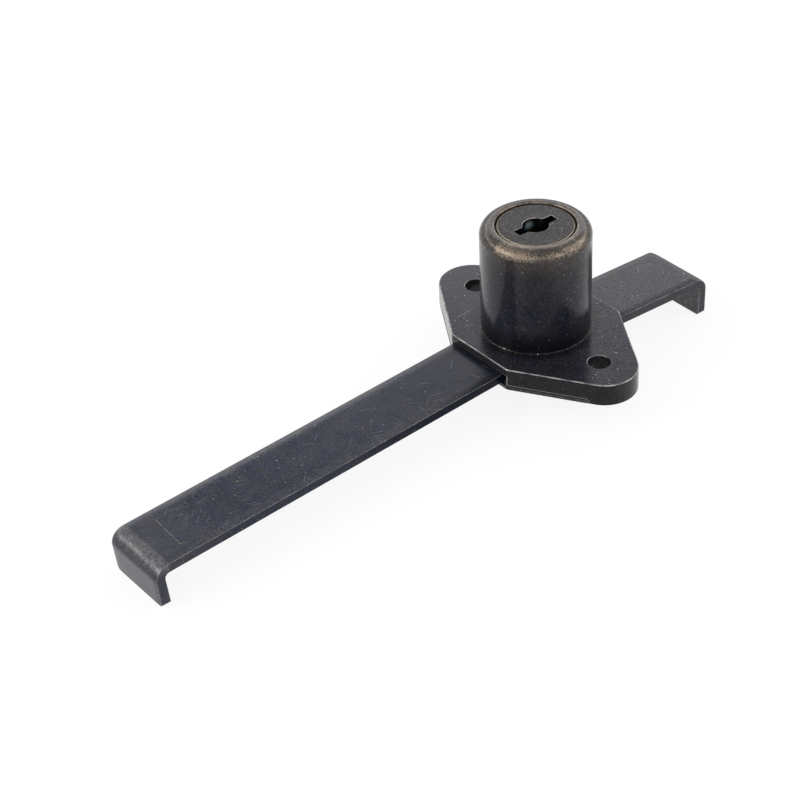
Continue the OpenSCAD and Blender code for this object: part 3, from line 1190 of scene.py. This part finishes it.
@dataclass
class Flange:
    """Outline of the flange and what the housing and the back plate share."""

    half_width: float = 15.0
    half_side: float = 8.15
    ear_r: float = 6.7
    ear_y: float = 19.7
    corner_r: float = 1.5
    bottom: float = -4.8
    screw_y: float = 18.25
    stud_at: Point = (8.5, 11.5)
    stud_flare: float = 0.55

    def outline(self) -> Outline:
        """Two round ears joined to the straight sides by tangent lines.

        Returns:
            The closed outline.
        """
        side = Vector((self.half_width, self.half_side))
        away = side - Vector((0, self.ear_y))
        lean = math.atan2(away.y, away.x) + math.acos(self.ear_r / away.length)
        tangent = Vector((math.cos(lean), math.sin(lean))) * self.ear_r + Vector((0, self.ear_y))
        slope = (tangent - side).normalized()
        cut = self.corner_r / math.tan(math.acos(-slope.y) / 2)
        low, inner = self.half_side - cut, self.half_width - self.corner_r
        rise, degrees = low + self.corner_r * math.sin(lean), math.degrees(lean)
        line = Outline((self.half_width, -low))
        for way in (1, -1):
            line.line((way * self.half_width, way * low))
            line.arc((way * inner, way * low), degrees, 8)
            line.line((way * tangent.x, way * tangent.y))
            line.arc((0, way * self.ear_y), 180 - 2 * degrees, 40)
            line.line((-way * (inner + self.corner_r * math.cos(lean)), way * rise))
            line.arc((-way * inner, way * low), degrees, 8)
        return line

    def screw_holes(self, radius: float, low: float, high: float) -> list[BMesh]:
        """Cutters of the two screw holes."""
        return [disc((0, way * self.screw_y), radius, low, high) for way in SIDES]

    def at_studs(self, make: Callable[[], BMesh]) -> list[BMesh]:
        """A solid made anew at each of the four studs."""
        x, y = self.stud_at
        return [moved(make(), (i * x, j * y, 0)) for i in SIDES for j in SIDES]


@dataclass
class Part:
    """A piece of the lock: its finish, its name, its body and its CAD node."""

    finish: PlatedMetal
    name: ClassVar[str]
    body: ClassVar[str] = "root"
    node: ClassVar[str]

    def shape(self) -> BMesh:
        """The solid, in millimetres."""
        raise NotImplementedError

    def build(self, effects: Effects) -> None:
        """Makes the piece with its finish, and logs it."""
        shape, material = self.shape(), self.finish.material(effects)
        finish_piece(shape, self.name, self.body, material, [self.node], self.finish.slot)


@dataclass
class Housing(Part):
    """Die-cast housing: barrel and flange in one piece."""

    name = "housing_casting"
    node = "housing"
    finish: PlatedMetal = HOUSING_BLACK
    flange: Flange = field(default_factory=Flange)
    barrel_r: float = 11.0
    barrel_h: float = 23.0
    bore_r: float = 8.0
    rim_r: float = 2.1
    lip: float = 0.2
    root_r: float = 0.2
    plate_top: float = -3.8
    channel_top: float = -1.6
    channel_y: float = 8.05
    plate_y: float = 22.0
    screw_r: float = 2.25
    seat_r: float = 9.22
    seat_top: float = 0.6
    recess_r: float = 10.42
    recess_top: float = -0.2
    recess_half: float = 55.0
    groove_r: float = 9.02
    groove_half: float = 3.08
    groove_low: float = 2.6
    groove_top: float = 20.8
    stud_r: float = 1.0
    mouth_from: float = 7.0
    mouth_half: float = 22.5

    def shape(self) -> BMesh:
        """The flange with its openings, then the barrel with its bore, then the studs.

        Returns:
            The solid.
        """
        bottom = self.flange.bottom
        shape = prism(self.flange.outline(), bottom, 0.0)
        soften(shape, corners(low=-NEAR), 0.2, 4)
        soften(shape, corners(high=bottom + NEAR), 0.2, 3, 0.6)
        shape = tidied(combine(shape, self._openings(), Join.CUT))
        soften(shape, self._is_level_channel_edge, 0.2, 2, 1.6)
        soften(shape, self._is_upright_channel_edge, 0.1, 2)
        soften(shape, self._is_hole_mouth, 0.15, 2, 0.55)
        shape = combine(shape, [self._barrel()], Join.ADD)
        shape = combine(shape, self._bore(), Join.CUT)
        return combine(shape, self.flange.at_studs(self._stud), Join.ADD)

    def _openings(self) -> list[BMesh]:
        """Cutters of the bar's channel, the back plate's seat and the screw holes.

        Returns:
            The cutters.
        """
        x, low = self.flange.half_width + PAST, self.flange.bottom - PAST
        channel = box((-x, -self.channel_y, low), (x, self.channel_y, self.channel_top))
        seat = box((-x, -self.plate_y, low), (x, self.plate_y, self.plate_top))
        return [channel, seat, *self.flange.screw_holes(self.screw_r, low, PAST)]

    def _is_channel_edge(self, edge: BMEdge) -> bool:
        """Whether an edge is an outer corner of the channel's two mouths.

        Args:
            edge: The edge.

        Returns:
            Whether it is one.
        """
        at = middle(edge)
        if not is_corner(edge) or abs(at.x) < self.mouth_from or abs(at.y) > self.mouth_half:
            return False
        on_roof = abs(at.z - self.channel_top) < NEAR and abs(at.x) > self.flange.half_width - 0.3
        on_wall = runs_along(edge, 2) and abs(abs(at.y) - self.channel_y) < NEAR
        on_foot = abs(at.z - self.plate_top) < NEAR and abs(at.y) > self.channel_y - NEAR
        return (on_roof and runs_along(edge, 1)) or on_wall or (on_foot and not runs_along(edge, 0))

    def _is_level_channel_edge(self, edge: BMEdge) -> bool:
        """Whether an edge of the channel's mouths isn't upright, and is no sliver."""
        return self._is_channel_edge(edge) and not runs_along(edge, 2) and edge.calc_length() > 1

    def _is_upright_channel_edge(self, edge: BMEdge) -> bool:
        """Whether an edge of the channel's mouths is upright."""
        return self._is_channel_edge(edge) and runs_along(edge, 2)

    def _is_hole_mouth(self, edge: BMEdge) -> bool:
        """Whether an edge is the mouth of a screw hole in the flange's front face.

        Args:
            edge: The edge.

        Returns:
            Whether it is one.
        """
        at = middle(edge)
        off = Vector((at.x, abs(at.y) - self.flange.screw_y)).length
        return abs(at.z) < NEAR and off < self.screw_r + 0.05 and is_corner(edge)

    def _barrel(self) -> BMesh:
        """Barrel with its rounded rim, and the small fillet at its foot.

        Returns:
            The solid.
        """
        r, h, rim, root = self.barrel_r, self.barrel_h, self.rim_r, self.root_r
        line = Outline((0, self.channel_top + SUNK), Plane.UPRIGHT)
        line.line((r + root, self.channel_top + SUNK), (r + root, 0.0))
        line.arc((r + root, root), -90, 6)
        line.line((r, h - rim)).arc((r - rim, h - rim), 90, 14)
        return revolve(line.line((0, h)))

    def _bore(self) -> list[BMesh]:
        """Cutters of the bore with its seat, the stop's recess and the wafers' grooves.

        Returns:
            The cutters.
        """
        low, top, lip = self.channel_top - PAST, self.barrel_h + PAST, self.lip
        line = Outline((0, low), Plane.UPRIGHT)
        line.line((self.seat_r, low), (self.seat_r, self.seat_top), (self.bore_r, self.seat_top))
        line.line((self.bore_r, self.barrel_h - lip))
        line.arc((self.bore_r + lip, self.barrel_h - lip), -90, 4)
        line.line((self.bore_r + lip, top), (0, top))
        half, reach = math.radians(self.recess_half), -self.recess_r
        recess = Outline((0, 0)).line((reach * math.sin(half), reach * math.cos(half)))
        recess.arc((0, 0), 2 * self.recess_half, 40)
        cutters = [revolve(line), prism(recess, low, self.recess_top)]
        for x, y in ((self.groove_r, self.groove_half), (self.groove_half, self.groove_r)):
            cutters.append(box((-x, -y, self.groove_low), (x, y, self.groove_top)))
        return cutters

    def _stud(self) -> BMesh:
        """A stud with its peened end, low domed over the back plate.

        Returns:
            The solid.
        """
        r, low, wide = self.stud_r, self.flange.bottom, self.stud_r + self.flange.stud_flare
        line = Outline((0, self.plate_top + SUNK), Plane.UPRIGHT)
        line.line((r, self.plate_top + SUNK), (r, low + self.flange.stud_flare), (wide, low))
        line.line((wide - 0.25, low - 0.16), (r - 0.1, low - 0.24), (0, low - 0.26))
        return revolve(line, STUD_STEPS)


@dataclass
class BackPlate(Part):
    """Stamped steel plate under the flange."""

    name = "back_plate_steel"
    node = "back_plate"
    finish: PlatedMetal = PLATE_BLACK
    flange: Flange = field(default_factory=Flange)
    thickness: float = 1.0
    half_length: float = 21.9
    screw_r: float = 2.65
    stud_r: float = 1.1
    step: float = 0.3
    step_in: float = 0.7

    def shape(self) -> BMesh:
        """The plate with its stepped upper edge, cut to length, then its holes.

        Returns:
            The solid.
        """
        whole, inset, bottom = self.flange, self.step_in, self.flange.bottom
        inner = replace(
            whole,
            half_width=whole.half_width - inset,
            half_side=whole.half_side - inset / 2,
            ear_r=whole.ear_r - inset,
        )
        top = bottom + self.thickness
        upper = prism(inner.outline(), bottom + self.thickness / 2, top)
        shape = combine(prism(whole.outline(), bottom, top - self.step), [upper], Join.ADD)
        low, high, reach = bottom - PAST, top + PAST, whole.half_width + PAST
        ends = []
        for way in SIDES:
            near, far = sorted((way * self.half_length, way * (self.half_length + 10)))
            ends.append(box((-reach, near, low), (reach, far, high)))
        shape = tidied(combine(shape, ends, Join.CUT))
        soften(shape, corners(high=bottom + NEAR), 0.12, 2, 0.8)
        holes = whole.screw_holes(self.screw_r, low, high) + whole.at_studs(self._stud_hole)
        return combine(shape, holes, Join.CUT)

    def _stud_hole(self) -> BMesh:
        """Cutter of a countersunk stud hole.

        Returns:
            The cutter.
        """
        r, flare, low = self.stud_r, self.flange.stud_flare, self.flange.bottom
        line = Outline((0, 0), Plane.UPRIGHT)
        line.line((r, 0), (r, low + flare), (r + flare + PAST, low - PAST), (0, low - PAST))
        return revolve(line, STUD_STEPS)


@dataclass
class Bar(Part):
    """Sliding bar: two arms that meet inside the housing, with bent ends."""

    name = "sliding_bar"
    body = "bar"
    node = "bar"
    finish: PlatedMetal = BAR_BLACK
    width: float = 14.4
    thickness: float = 2.0
    top: float = -1.7
    bend_r: float = 3.0
    bend_steps: int = 28
    drop: float = 8.9
    corner_r: float = 0.6
    edge: float = 0.16
    roll: float = 1.7
    roll_angle: float = 9.0
    meet: Point = (-9.4, 0.6)
    overlap: float = 0.05
    long_reach: float = 98.4
    long_sweep: float = 2.4
    long_overbend: float = 5.0
    short_reach: float = 38.9
    short_sweep: float = -3.2
    crank_r: float = 5.0
    pin_r: float = 1.8

    def shape(self) -> BMesh:
        """The two arms, joined, with the cut-out for the drive pin.

        Returns:
            The solid.
        """
        long_arm = self._arm(self.long_reach + self.meet[0], self.long_overbend, self.long_sweep)
        short_arm = self._arm(self.short_reach - self.meet[0], 0.0, self.short_sweep)
        shape = moved(combine(turned(long_arm, 180), [short_arm], Join.ADD), (*self.meet, 0.0))
        slot_x = -self.crank_r * math.sqrt(0.5)
        low = (slot_x - self.pin_r, -slot_x - self.pin_r, self.top - self.thickness - PAST)
        high = (slot_x + self.pin_r, self.crank_r + self.pin_r, self.top + PAST)
        return combine(shape, [box(low, high)], Join.CUT)

    def _section(self, half: float) -> Outline:
        """Cross-section of the strip, whose top edges the punch has rolled over.

        Args:
            half: Half of the strip's width.

        Returns:
            The outline, across X.
        """
        roll, top, low = self.roll_angle, self.top, self.top - self.thickness
        radius = self.roll / math.sin(math.radians(roll))
        sunk = top - radius * (1 - math.cos(math.radians(roll)))
        line = Outline((-half, low), Plane.ACROSS).line((half, low), (half, sunk))
        line.arc((half - self.roll, top - radius), roll, 6).line((self.roll - half, top))
        return line.arc((self.roll - half, top - radius), roll, 6)

    def _arm(self, reach: float, overbend: float, sweep: float) -> BMesh:
        """One arm towards +X: a swept strip whose end is bent down into a hook.

        Args:
            reach: Distance to the hook's outer face.
            overbend: How far past square the hook is bent, in degrees.
            sweep: Sideways sweep of the strip, in degrees.

        Returns:
            The solid, with its edges rounded.
        """
        run, low = reach - self.bend_r, self.top - self.drop
        half = self.width / 2 / math.cos(math.radians(sweep))
        shape = prism(self._section(half), -self.overlap, run)
        end = max(shape.faces, key=lambda face: face.calc_center_median().x)
        geom, centre = [end, *end.edges, *end.verts], (run, 0, self.top - self.bend_r)
        last = spin(shape, geom, centre, (0, 1, 0), 90 + overbend, steps=self.bend_steps)
        end = only(last, BMFace)[0]
        grown = bmesh.ops.extrude_face_region(shape, geom=[end, *end.edges, *end.verts])
        turn = math.radians(90 + overbend)
        way = self.drop * Vector((math.cos(turn), 0, -math.sin(turn)))
        bmesh.ops.translate(shape, verts=only(grown["geom"], BMVert), vec=way)
        geom = shape.verts[:] + shape.edges[:] + shape.faces[:]
        level = {"plane_co": (0, 0, low), "plane_no": (0, 0, -1), "clear_outer": True}
        cut = bmesh.ops.bisect_plane(shape, geom=geom, dist=MERGE, **level)
        bmesh.ops.contextual_create(shape, geom=only(cut["geom_cut"], BMEdge))
        bmesh.ops.recalc_face_normals(shape, faces=shape.faces[:])
        shape = tidied(combine(shape, self._corners(run, half, low), Join.CUT))
        soften(shape, lambda edge: is_corner(edge) and middle(edge).x > 0.5, self.edge, 3)
        return self._swept(shape, run, math.tan(math.radians(sweep)))

    def _corners(self, run: float, half: float, low: float) -> list[BMesh]:
        """Cutters of the two rounded lower corners of a hook.

        Args:
            run: Where the bend starts.
            half: Half of the strip's width.
            low: Height of the hook's lower edge.

        Returns:
            The cutters.
        """
        made = []
        side, rise = half - self.corner_r, low + self.corner_r
        for turn in (0, 180):
            line = Outline((side, low - PAST), Plane.ACROSS).line((side, low))
            line.arc((side, rise), 90, 8).line((half + PAST, rise), (half + PAST, low - PAST))
            made.append(turned(prism(line, run - self.drop, run + self.drop), turn, (run, 0, 0)))
        return made

    @staticmethod
    def _swept(shape: BMesh, run: float, slope: float) -> BMesh:
        """Slants the strip sideways and carries its hook along, still square to X.

        Args:
            shape: The arm, changed in place.
            run: Where the bend starts.
            slope: Sideways way of the strip for each millimetre along X.

        Returns:
            The same arm.
        """
        strip = [vert for vert in shape.verts if vert.co.x < run + 1e-6]
        hook = [vert for vert in shape.verts if vert.co.x >= run + 1e-6]
        slant = Matrix(((1, 0, 0), (slope, 1, 0), (0, 0, 1))).to_4x4()
        bmesh.ops.transform(shape, verts=strip, matrix=slant)
        bmesh.ops.translate(shape, verts=hook, vec=(0, slope * run, 0))
        return shape


@dataclass
class Plug(Part):
    """Turning plug with its key slot, back flange, stop and drive pin."""

    name = "keyed_plug"
    body = "plug"
    node = "plug"
    finish: PlatedMetal = PLUG_BRONZE
    radius: float = 7.92
    head_r: float = 7.58
    face: float = 22.8
    head_h: float = 1.0
    foot_r: float = 9.02
    foot_low: float = -1.5
    foot_top: float = 0.5
    edge: float = 0.2
    stop_r: float = 10.22
    stop_in: float = 3.0
    stop_half: float = 1.5
    stop_h: float = 1.2
    crank_r: float = 5.0
    crank_turn: float = 135.0
    pin_r: float = 1.5
    pin_low: float = -3.6
    slot_half: float = 4.67
    wing_half: float = 1.0
    hole_r: float = 2.6
    fillet: float = 0.5
    mouth_r: float = 5.2
    slot_low: float = 2.4
    rest_turn: float = -3.4
    wafer_count: int = 8
    wafer_top: float = 20.4
    wafer_pitch: float = 2.175
    wafer_half: tuple = (3.6, 0.55)
    pocket: tuple = (-3.6, 3.2, 5.5, 0.75)

    def at_wafers(self, make: Callable[[], list[BMesh]]) -> Iterable[tuple[int, list[BMesh]]]:
        """Solids made anew at each wafer, whose lug lies on the other side each time.

        Args:
            make: Makes the solids of one wafer.

        Yields:
            The wafer's number, from 1 at the key's end, and its solids in place.
        """
        for number in range(1, self.wafer_count + 1):
            turn = self.rest_turn + (0 if number % 2 else 180)
            height = (0, 0, self.wafer_top - (number - 0.5) * self.wafer_pitch)
            yield number, [moved(turned(solid, turn), height) for solid in make()]

    def shape(self) -> BMesh:
        """The body with its stop and pin, then the key slot, then the wafers' slots.

        Returns:
            The solid.
        """
        pin = disc((self.crank_r, 0), self.pin_r, self.pin_low, self.foot_low + 0.5, 40)
        soften(pin, corners(high=self.pin_low + NEAR), 0.2, 2)
        shape = combine(self._body(), [self._stop(), turned(pin, self.crank_turn)], Join.ADD)
        keyway = turned(prism(self._keyway(), self.slot_low, self.face + PAST), self.rest_turn)
        shape = tidied(combine(shape, [keyway], Join.CUT))
        soften(shape, self._is_slot_mouth, 0.13, 2)
        slots = [solid for _, solids in self.at_wafers(self._wafer_slot) for solid in solids]
        return combine(shape, slots, Join.CUT)

    def _body(self) -> BMesh:
        """Plug's body with its foot and its stepped head.

        Returns:
            The solid.
        """
        edge, step = self.edge, self.face - self.head_h
        line = Outline((0, self.foot_low), Plane.UPRIGHT)
        line.line((self.foot_r - edge, self.foot_low), (self.foot_r, self.foot_low + edge))
        line.line((self.foot_r, self.foot_top), (self.radius, self.foot_top))
        line.line((self.radius, step), (self.head_r, step), (self.head_r, self.face - edge))
        line.arc((self.head_r - edge, self.face - edge), 90, 4)
        return revolve(line.line((0, self.face)))

    def _stop(self) -> BMesh:
        """Stop on the foot, opposite the drive pin.

        Returns:
            The solid.
        """
        reach = math.sqrt(self.stop_r**2 - self.stop_half**2)
        line = Outline((self.stop_in, -self.stop_half)).line((reach, -self.stop_half))
        line.arc((0, 0), 2 * math.degrees(math.asin(self.stop_half / self.stop_r)), 6)
        line.line((self.stop_in, self.stop_half))
        solid = prism(line, self.foot_low, self.foot_low + self.stop_h)
        return turned(solid, self.crank_turn + 180)

    def _keyway(self) -> Outline:
        """Key slot: two wings across a round hole, with filleted corners.

        Returns:
            The closed outline.
        """
        reach, lift = self.hole_r + self.fillet, self.wing_half + self.fillet
        end, wing, inner = self.slot_half, self.wing_half, math.sqrt(reach**2 - lift**2)
        lean = math.degrees(math.atan2(lift, inner))
        line = Outline((inner, -wing))
        for way in (1, -1):
            line.line((way * end, -way * wing), (way * end, way * wing), (way * inner, way * wing))
            line.arc((way * inner, way * lift), lean - 90, 5)
            line.arc((0, 0), 180 - 2 * lean, 28)
            line.arc((-way * inner, way * lift), lean - 90, 5)
        return line

    def _is_slot_mouth(self, edge: BMEdge) -> bool:
        """Whether an edge is the key slot's mouth in the plug's face."""
        at = middle(edge)
        return abs(at.z - self.face) < NEAR and at.xy.length < self.mouth_r and is_corner(edge)

    def _wafer_slot(self) -> list[BMesh]:
        """Cutters of one wafer's slot and of the pocket for its lug and spring.

        Returns:
            The cutters.
        """
        reach, (half_w, half_h) = self.radius + 0.5, self.wafer_half
        start, end, side, deep = self.pocket
        slot = box((-reach, -half_w, -half_h), (reach, half_w, half_h))
        return [slot, box((start, 0, -deep), (end, side, deep))]


@dataclass
class WaferPack:
    """The brass wafers, which stay as CAD nodes, and their coil springs."""

    wafer_finish: BrightMetal = WAFER_BRASS
    spring_finish: BrightMetal = SPRING_WIRE
    plug: Plug = field(default_factory=Plug)
    coil_r: float = 0.51
    wire_r: float = 0.14
    turns: int = 5
    start: float = -3.41
    length: float = 4.02
    side: float = 4.5
    turn_steps: int = 24

    def build(self, effects: Effects) -> None:
        """Dresses the wafers and makes the springs, which ride on the plug.

        Args:
            effects: The shared node groups.
        """
        brass, wire = self.wafer_finish.material(effects), self.spring_finish.material(effects)
        for number, (coil,) in self.plug.at_wafers(lambda: [self._coil()]):
            dress(f"wafer_{number}", brass)
            name, stands_for = f"wafer_coil_{number}", [f"wafer_spring_{number}"]
            finish_piece(coil, name, "plug", wire, stands_for, self.spring_finish.slot)

    def _coil(self) -> BMesh:
        """A wound wire along +X with closed ends.

        Returns:
            The solid.
        """
        shape = bmesh.new()
        section = bmesh.ops.create_circle(shape, segments=10, radius=self.wire_r)["verts"]
        half_turn = Matrix.Rotation(math.pi, 3, "X")
        bmesh.ops.rotate(shape, verts=section, cent=(0, 0, 0), matrix=half_turn)
        bmesh.ops.translate(shape, verts=section, vec=(self.start, self.side + self.coil_r, 0))
        steps, geom = self.turns * self.turn_steps, shape.verts[:] + shape.edges[:]
        centre, rise = (0, self.side, 0), (self.length / steps, 0, 0)
        spin(shape, geom, centre, (1, 0, 0), FULL_TURN * self.turns, dvec=rise, steps=steps)
        ends = [edge for edge in shape.edges if edge.is_boundary]
        bmesh.ops.holes_fill(shape, edges=ends, sides=0)
        bmesh.ops.recalc_face_normals(shape, faces=shape.faces[:])
        return shape


def dress(node: str, material: Material) -> None:
    """Gives each material slot of a CAD node a finish.

    Args:
        node: Name of the CAD node.
        material: Its finish.
    """
    slots = frame["nodes"][node].data.materials
    for number in range(len(slots)):
        slots[number] = material
    if not slots:
        slots.append(material)
    LOG.info("%s: dressed in %s", node, material.name)


@dataclass
class Studio:
    """Floor, soft light and the camera at the photograph's viewpoint.

    Attributes:
        floor_z: Height of the floor, in millimetres.
        floor_size: Half of its side, in metres.
        camera_at: Place of the camera, in metres.
        azimuth: Way that the camera looks, in degrees from +X.
        elevation: How far down it looks, in degrees.
        roll: How far it is tilted, in degrees.
        lens: Focal length, in millimetres.
        sensor: Width of the sensor, in millimetres.
        levels: Pairs of a height above the horizon, in degrees, and its light.
        room_strength: Light that a level is a share of.
    """

    floor_z: float = -10.65
    floor_size: float = 3.0
    camera_at: tuple = (-0.236157, -0.263361, 0.243393)
    azimuth: float = 52.62194
    elevation: float = 36.49543
    roll: float = -2.82128
    lens: float = 96.8188
    sensor: float = 36.0
    levels: tuple = (
        *((0, 0.6), (18, 0.8), (24, 2.8), (31, 3.5), (33.5, 2.3)),
        *((35.2, 0.55), (40, 0.6), (44, 1.2), (70, 0.6)),
    )
    room_strength: float = 4.0

    def build(self) -> None:
        """Makes everything that isn't part of the object."""
        self._floor()
        self._world()
        self._lamp("window", (-0.62, 0.2, 0.42), (0.35, 0.35), 1.5)
        self._lamp("fill", (0.6, -0.35, 0.5), (0.6, 0.6), 0.8)
        self._camera()

    def _floor(self) -> None:
        """A pale floor that shows white, keeps the object's shadow and is clear from below."""
        shape = bmesh.new()
        bmesh.ops.create_grid(shape, x_segments=1, y_segments=1, size=self.floor_size)
        floor = add_object("floor", mesh_from("floor", moved(shape, (0, 0, self.floor_z * MM))))
        made = bpy.data.materials.new("pale_floor")
        wires = Wiring.of(made)
        white = wires.take("Emission", 0, {"Color": (1, 1, 1), "Strength": self._sheen(wires)})
        paper = wires.take("BsdfDiffuse", 0, {"Color": (0.85, 0.85, 0.85)})
        lit = wires.blend(self._seen(wires) * 0.88, paper, white)
        below, clear = wires.take("NewGeometry", "Backfacing"), wires.take("BsdfTransparent", 0)
        wires.node("OutputMaterial", {"Surface": wires.blend(below, lit, clear)})
        floor.data.materials.append(made)
        floor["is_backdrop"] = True

    def _sheen(self, wires: Wiring) -> Value:
        """White to the camera; in reflections the paper is dimmer in front of the lock.

        Args:
            wires: Wiring of the floor.

        Returns:
            The strength of its light.
        """
        toward = math.radians(self.azimuth + 180)
        front = (38 * math.cos(toward), 38 * math.sin(toward), self.floor_z)
        dim = wires.own_place().vector("DISTANCE", front, "Value").ramp(34.0, 14.0, 0.0, 0.75)
        return 1.0 - dim * wires.take("LightPath", "Is Glossy Ray")

    @staticmethod
    def _seen(wires: Wiring) -> Value:
        """Whether a ray comes from the camera, a reflection or through glass.

        Args:
            wires: Wiring of the floor.

        Returns:
            1 where it does.
        """
        kinds = ("Camera", "Glossy", "Transmission")
        camera, glossy, glass = (wires.take("LightPath", f"Is {kind} Ray") for kind in kinds)
        return camera | glossy | glass

    def _world(self) -> None:
        """A white room whose light varies softly with height."""
        world = bpy.data.worlds.new("white_room")
        bpy.context.scene.world = world
        wires = Wiring.of(world)
        ramp = wires.node("ValToRGB", {"Fac": wires.take("TexCoord", "Generated").axis("Z")})
        points = ramp.color_ramp.elements
        while len(points) < len(self.levels):
            points.new(0.5)
        for point, (degrees, level) in zip(points, self.levels):
            point.position = math.sin(math.radians(degrees))
            point.color = (*(level / self.room_strength,) * 3, 1)
        inputs = {"Color": Value(wires, ramp.outputs[0]), "Strength": self.room_strength}
        room = wires.take("Background", 0, inputs)
        white = wires.take("Background", 0, {"Color": (1, 1, 1), "Strength": 1.0})
        both = wires.blend(wires.take("LightPath", "Is Camera Ray"), room, white)
        wires.node("OutputWorld", {"Surface": both})

    @staticmethod
    def _lamp(name: str, at: tuple, size: tuple, power: float) -> None:
        """A soft lamp that points at the object.

        Args:
            name: Its name.
            at: Its place in metres.
            size: Its width and height in metres.
            power: Its power in watts.
        """
        light = bpy.data.lights.new(name, "AREA")
        light.shape = "RECTANGLE"
        light.size, light.size_y = size
        light.energy = power
        lamp = add_object(name, light)
        lamp.location = at
        lamp.rotation_euler = (-Vector(at)).to_track_quat("-Z", "Y").to_euler()

    def _camera(self) -> None:
        """The camera at the photograph's viewpoint."""
        az, el, roll = (math.radians(a) for a in (self.azimuth, self.elevation, self.roll))
        ahead = Vector((math.cos(az) * math.cos(el), math.sin(az) * math.cos(el), -math.sin(el)))
        level = Vector((math.sin(az), -math.cos(az), 0.0))
        above = level.cross(ahead)
        right = level * math.cos(roll) + above * math.sin(roll)
        up = above * math.cos(roll) - level * math.sin(roll)
        data = bpy.data.cameras.new("camera")
        data.sensor_width = self.sensor
        data.lens = self.lens
        data.clip_start, data.clip_end = 0.01, 20.0
        camera = add_object("camera", data)
        turn = Matrix((right, up, -ahead)).transposed().to_4x4()
        camera.matrix_world = Matrix.Translation(self.camera_at) @ turn
        bpy.context.scene.camera = camera


def keep_sizes() -> None:
    """Writes the CAD box and the visual model's box, in metres."""
    boxes = {"cad": CAD_BOX, "visual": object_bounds()}
    plain = {name: [list(corner) for corner in pair] for name, pair in boxes.items()}
    LOG.info("sizes: %s", plain)


def main() -> None:
    """Builds the lock and its surroundings."""
    logging.basicConfig(level=logging.INFO, format="%(name)s: %(message)s")
    bpy.context.scene.view_settings.view_transform = "Standard"
    Studio().build()
    effects = Effects()
    for part in (Housing(), BackPlate(), Bar(), Plug(), WaferPack()):
        part.build(effects)
    keep_sizes()


if __name__ == "__main__":
    main()
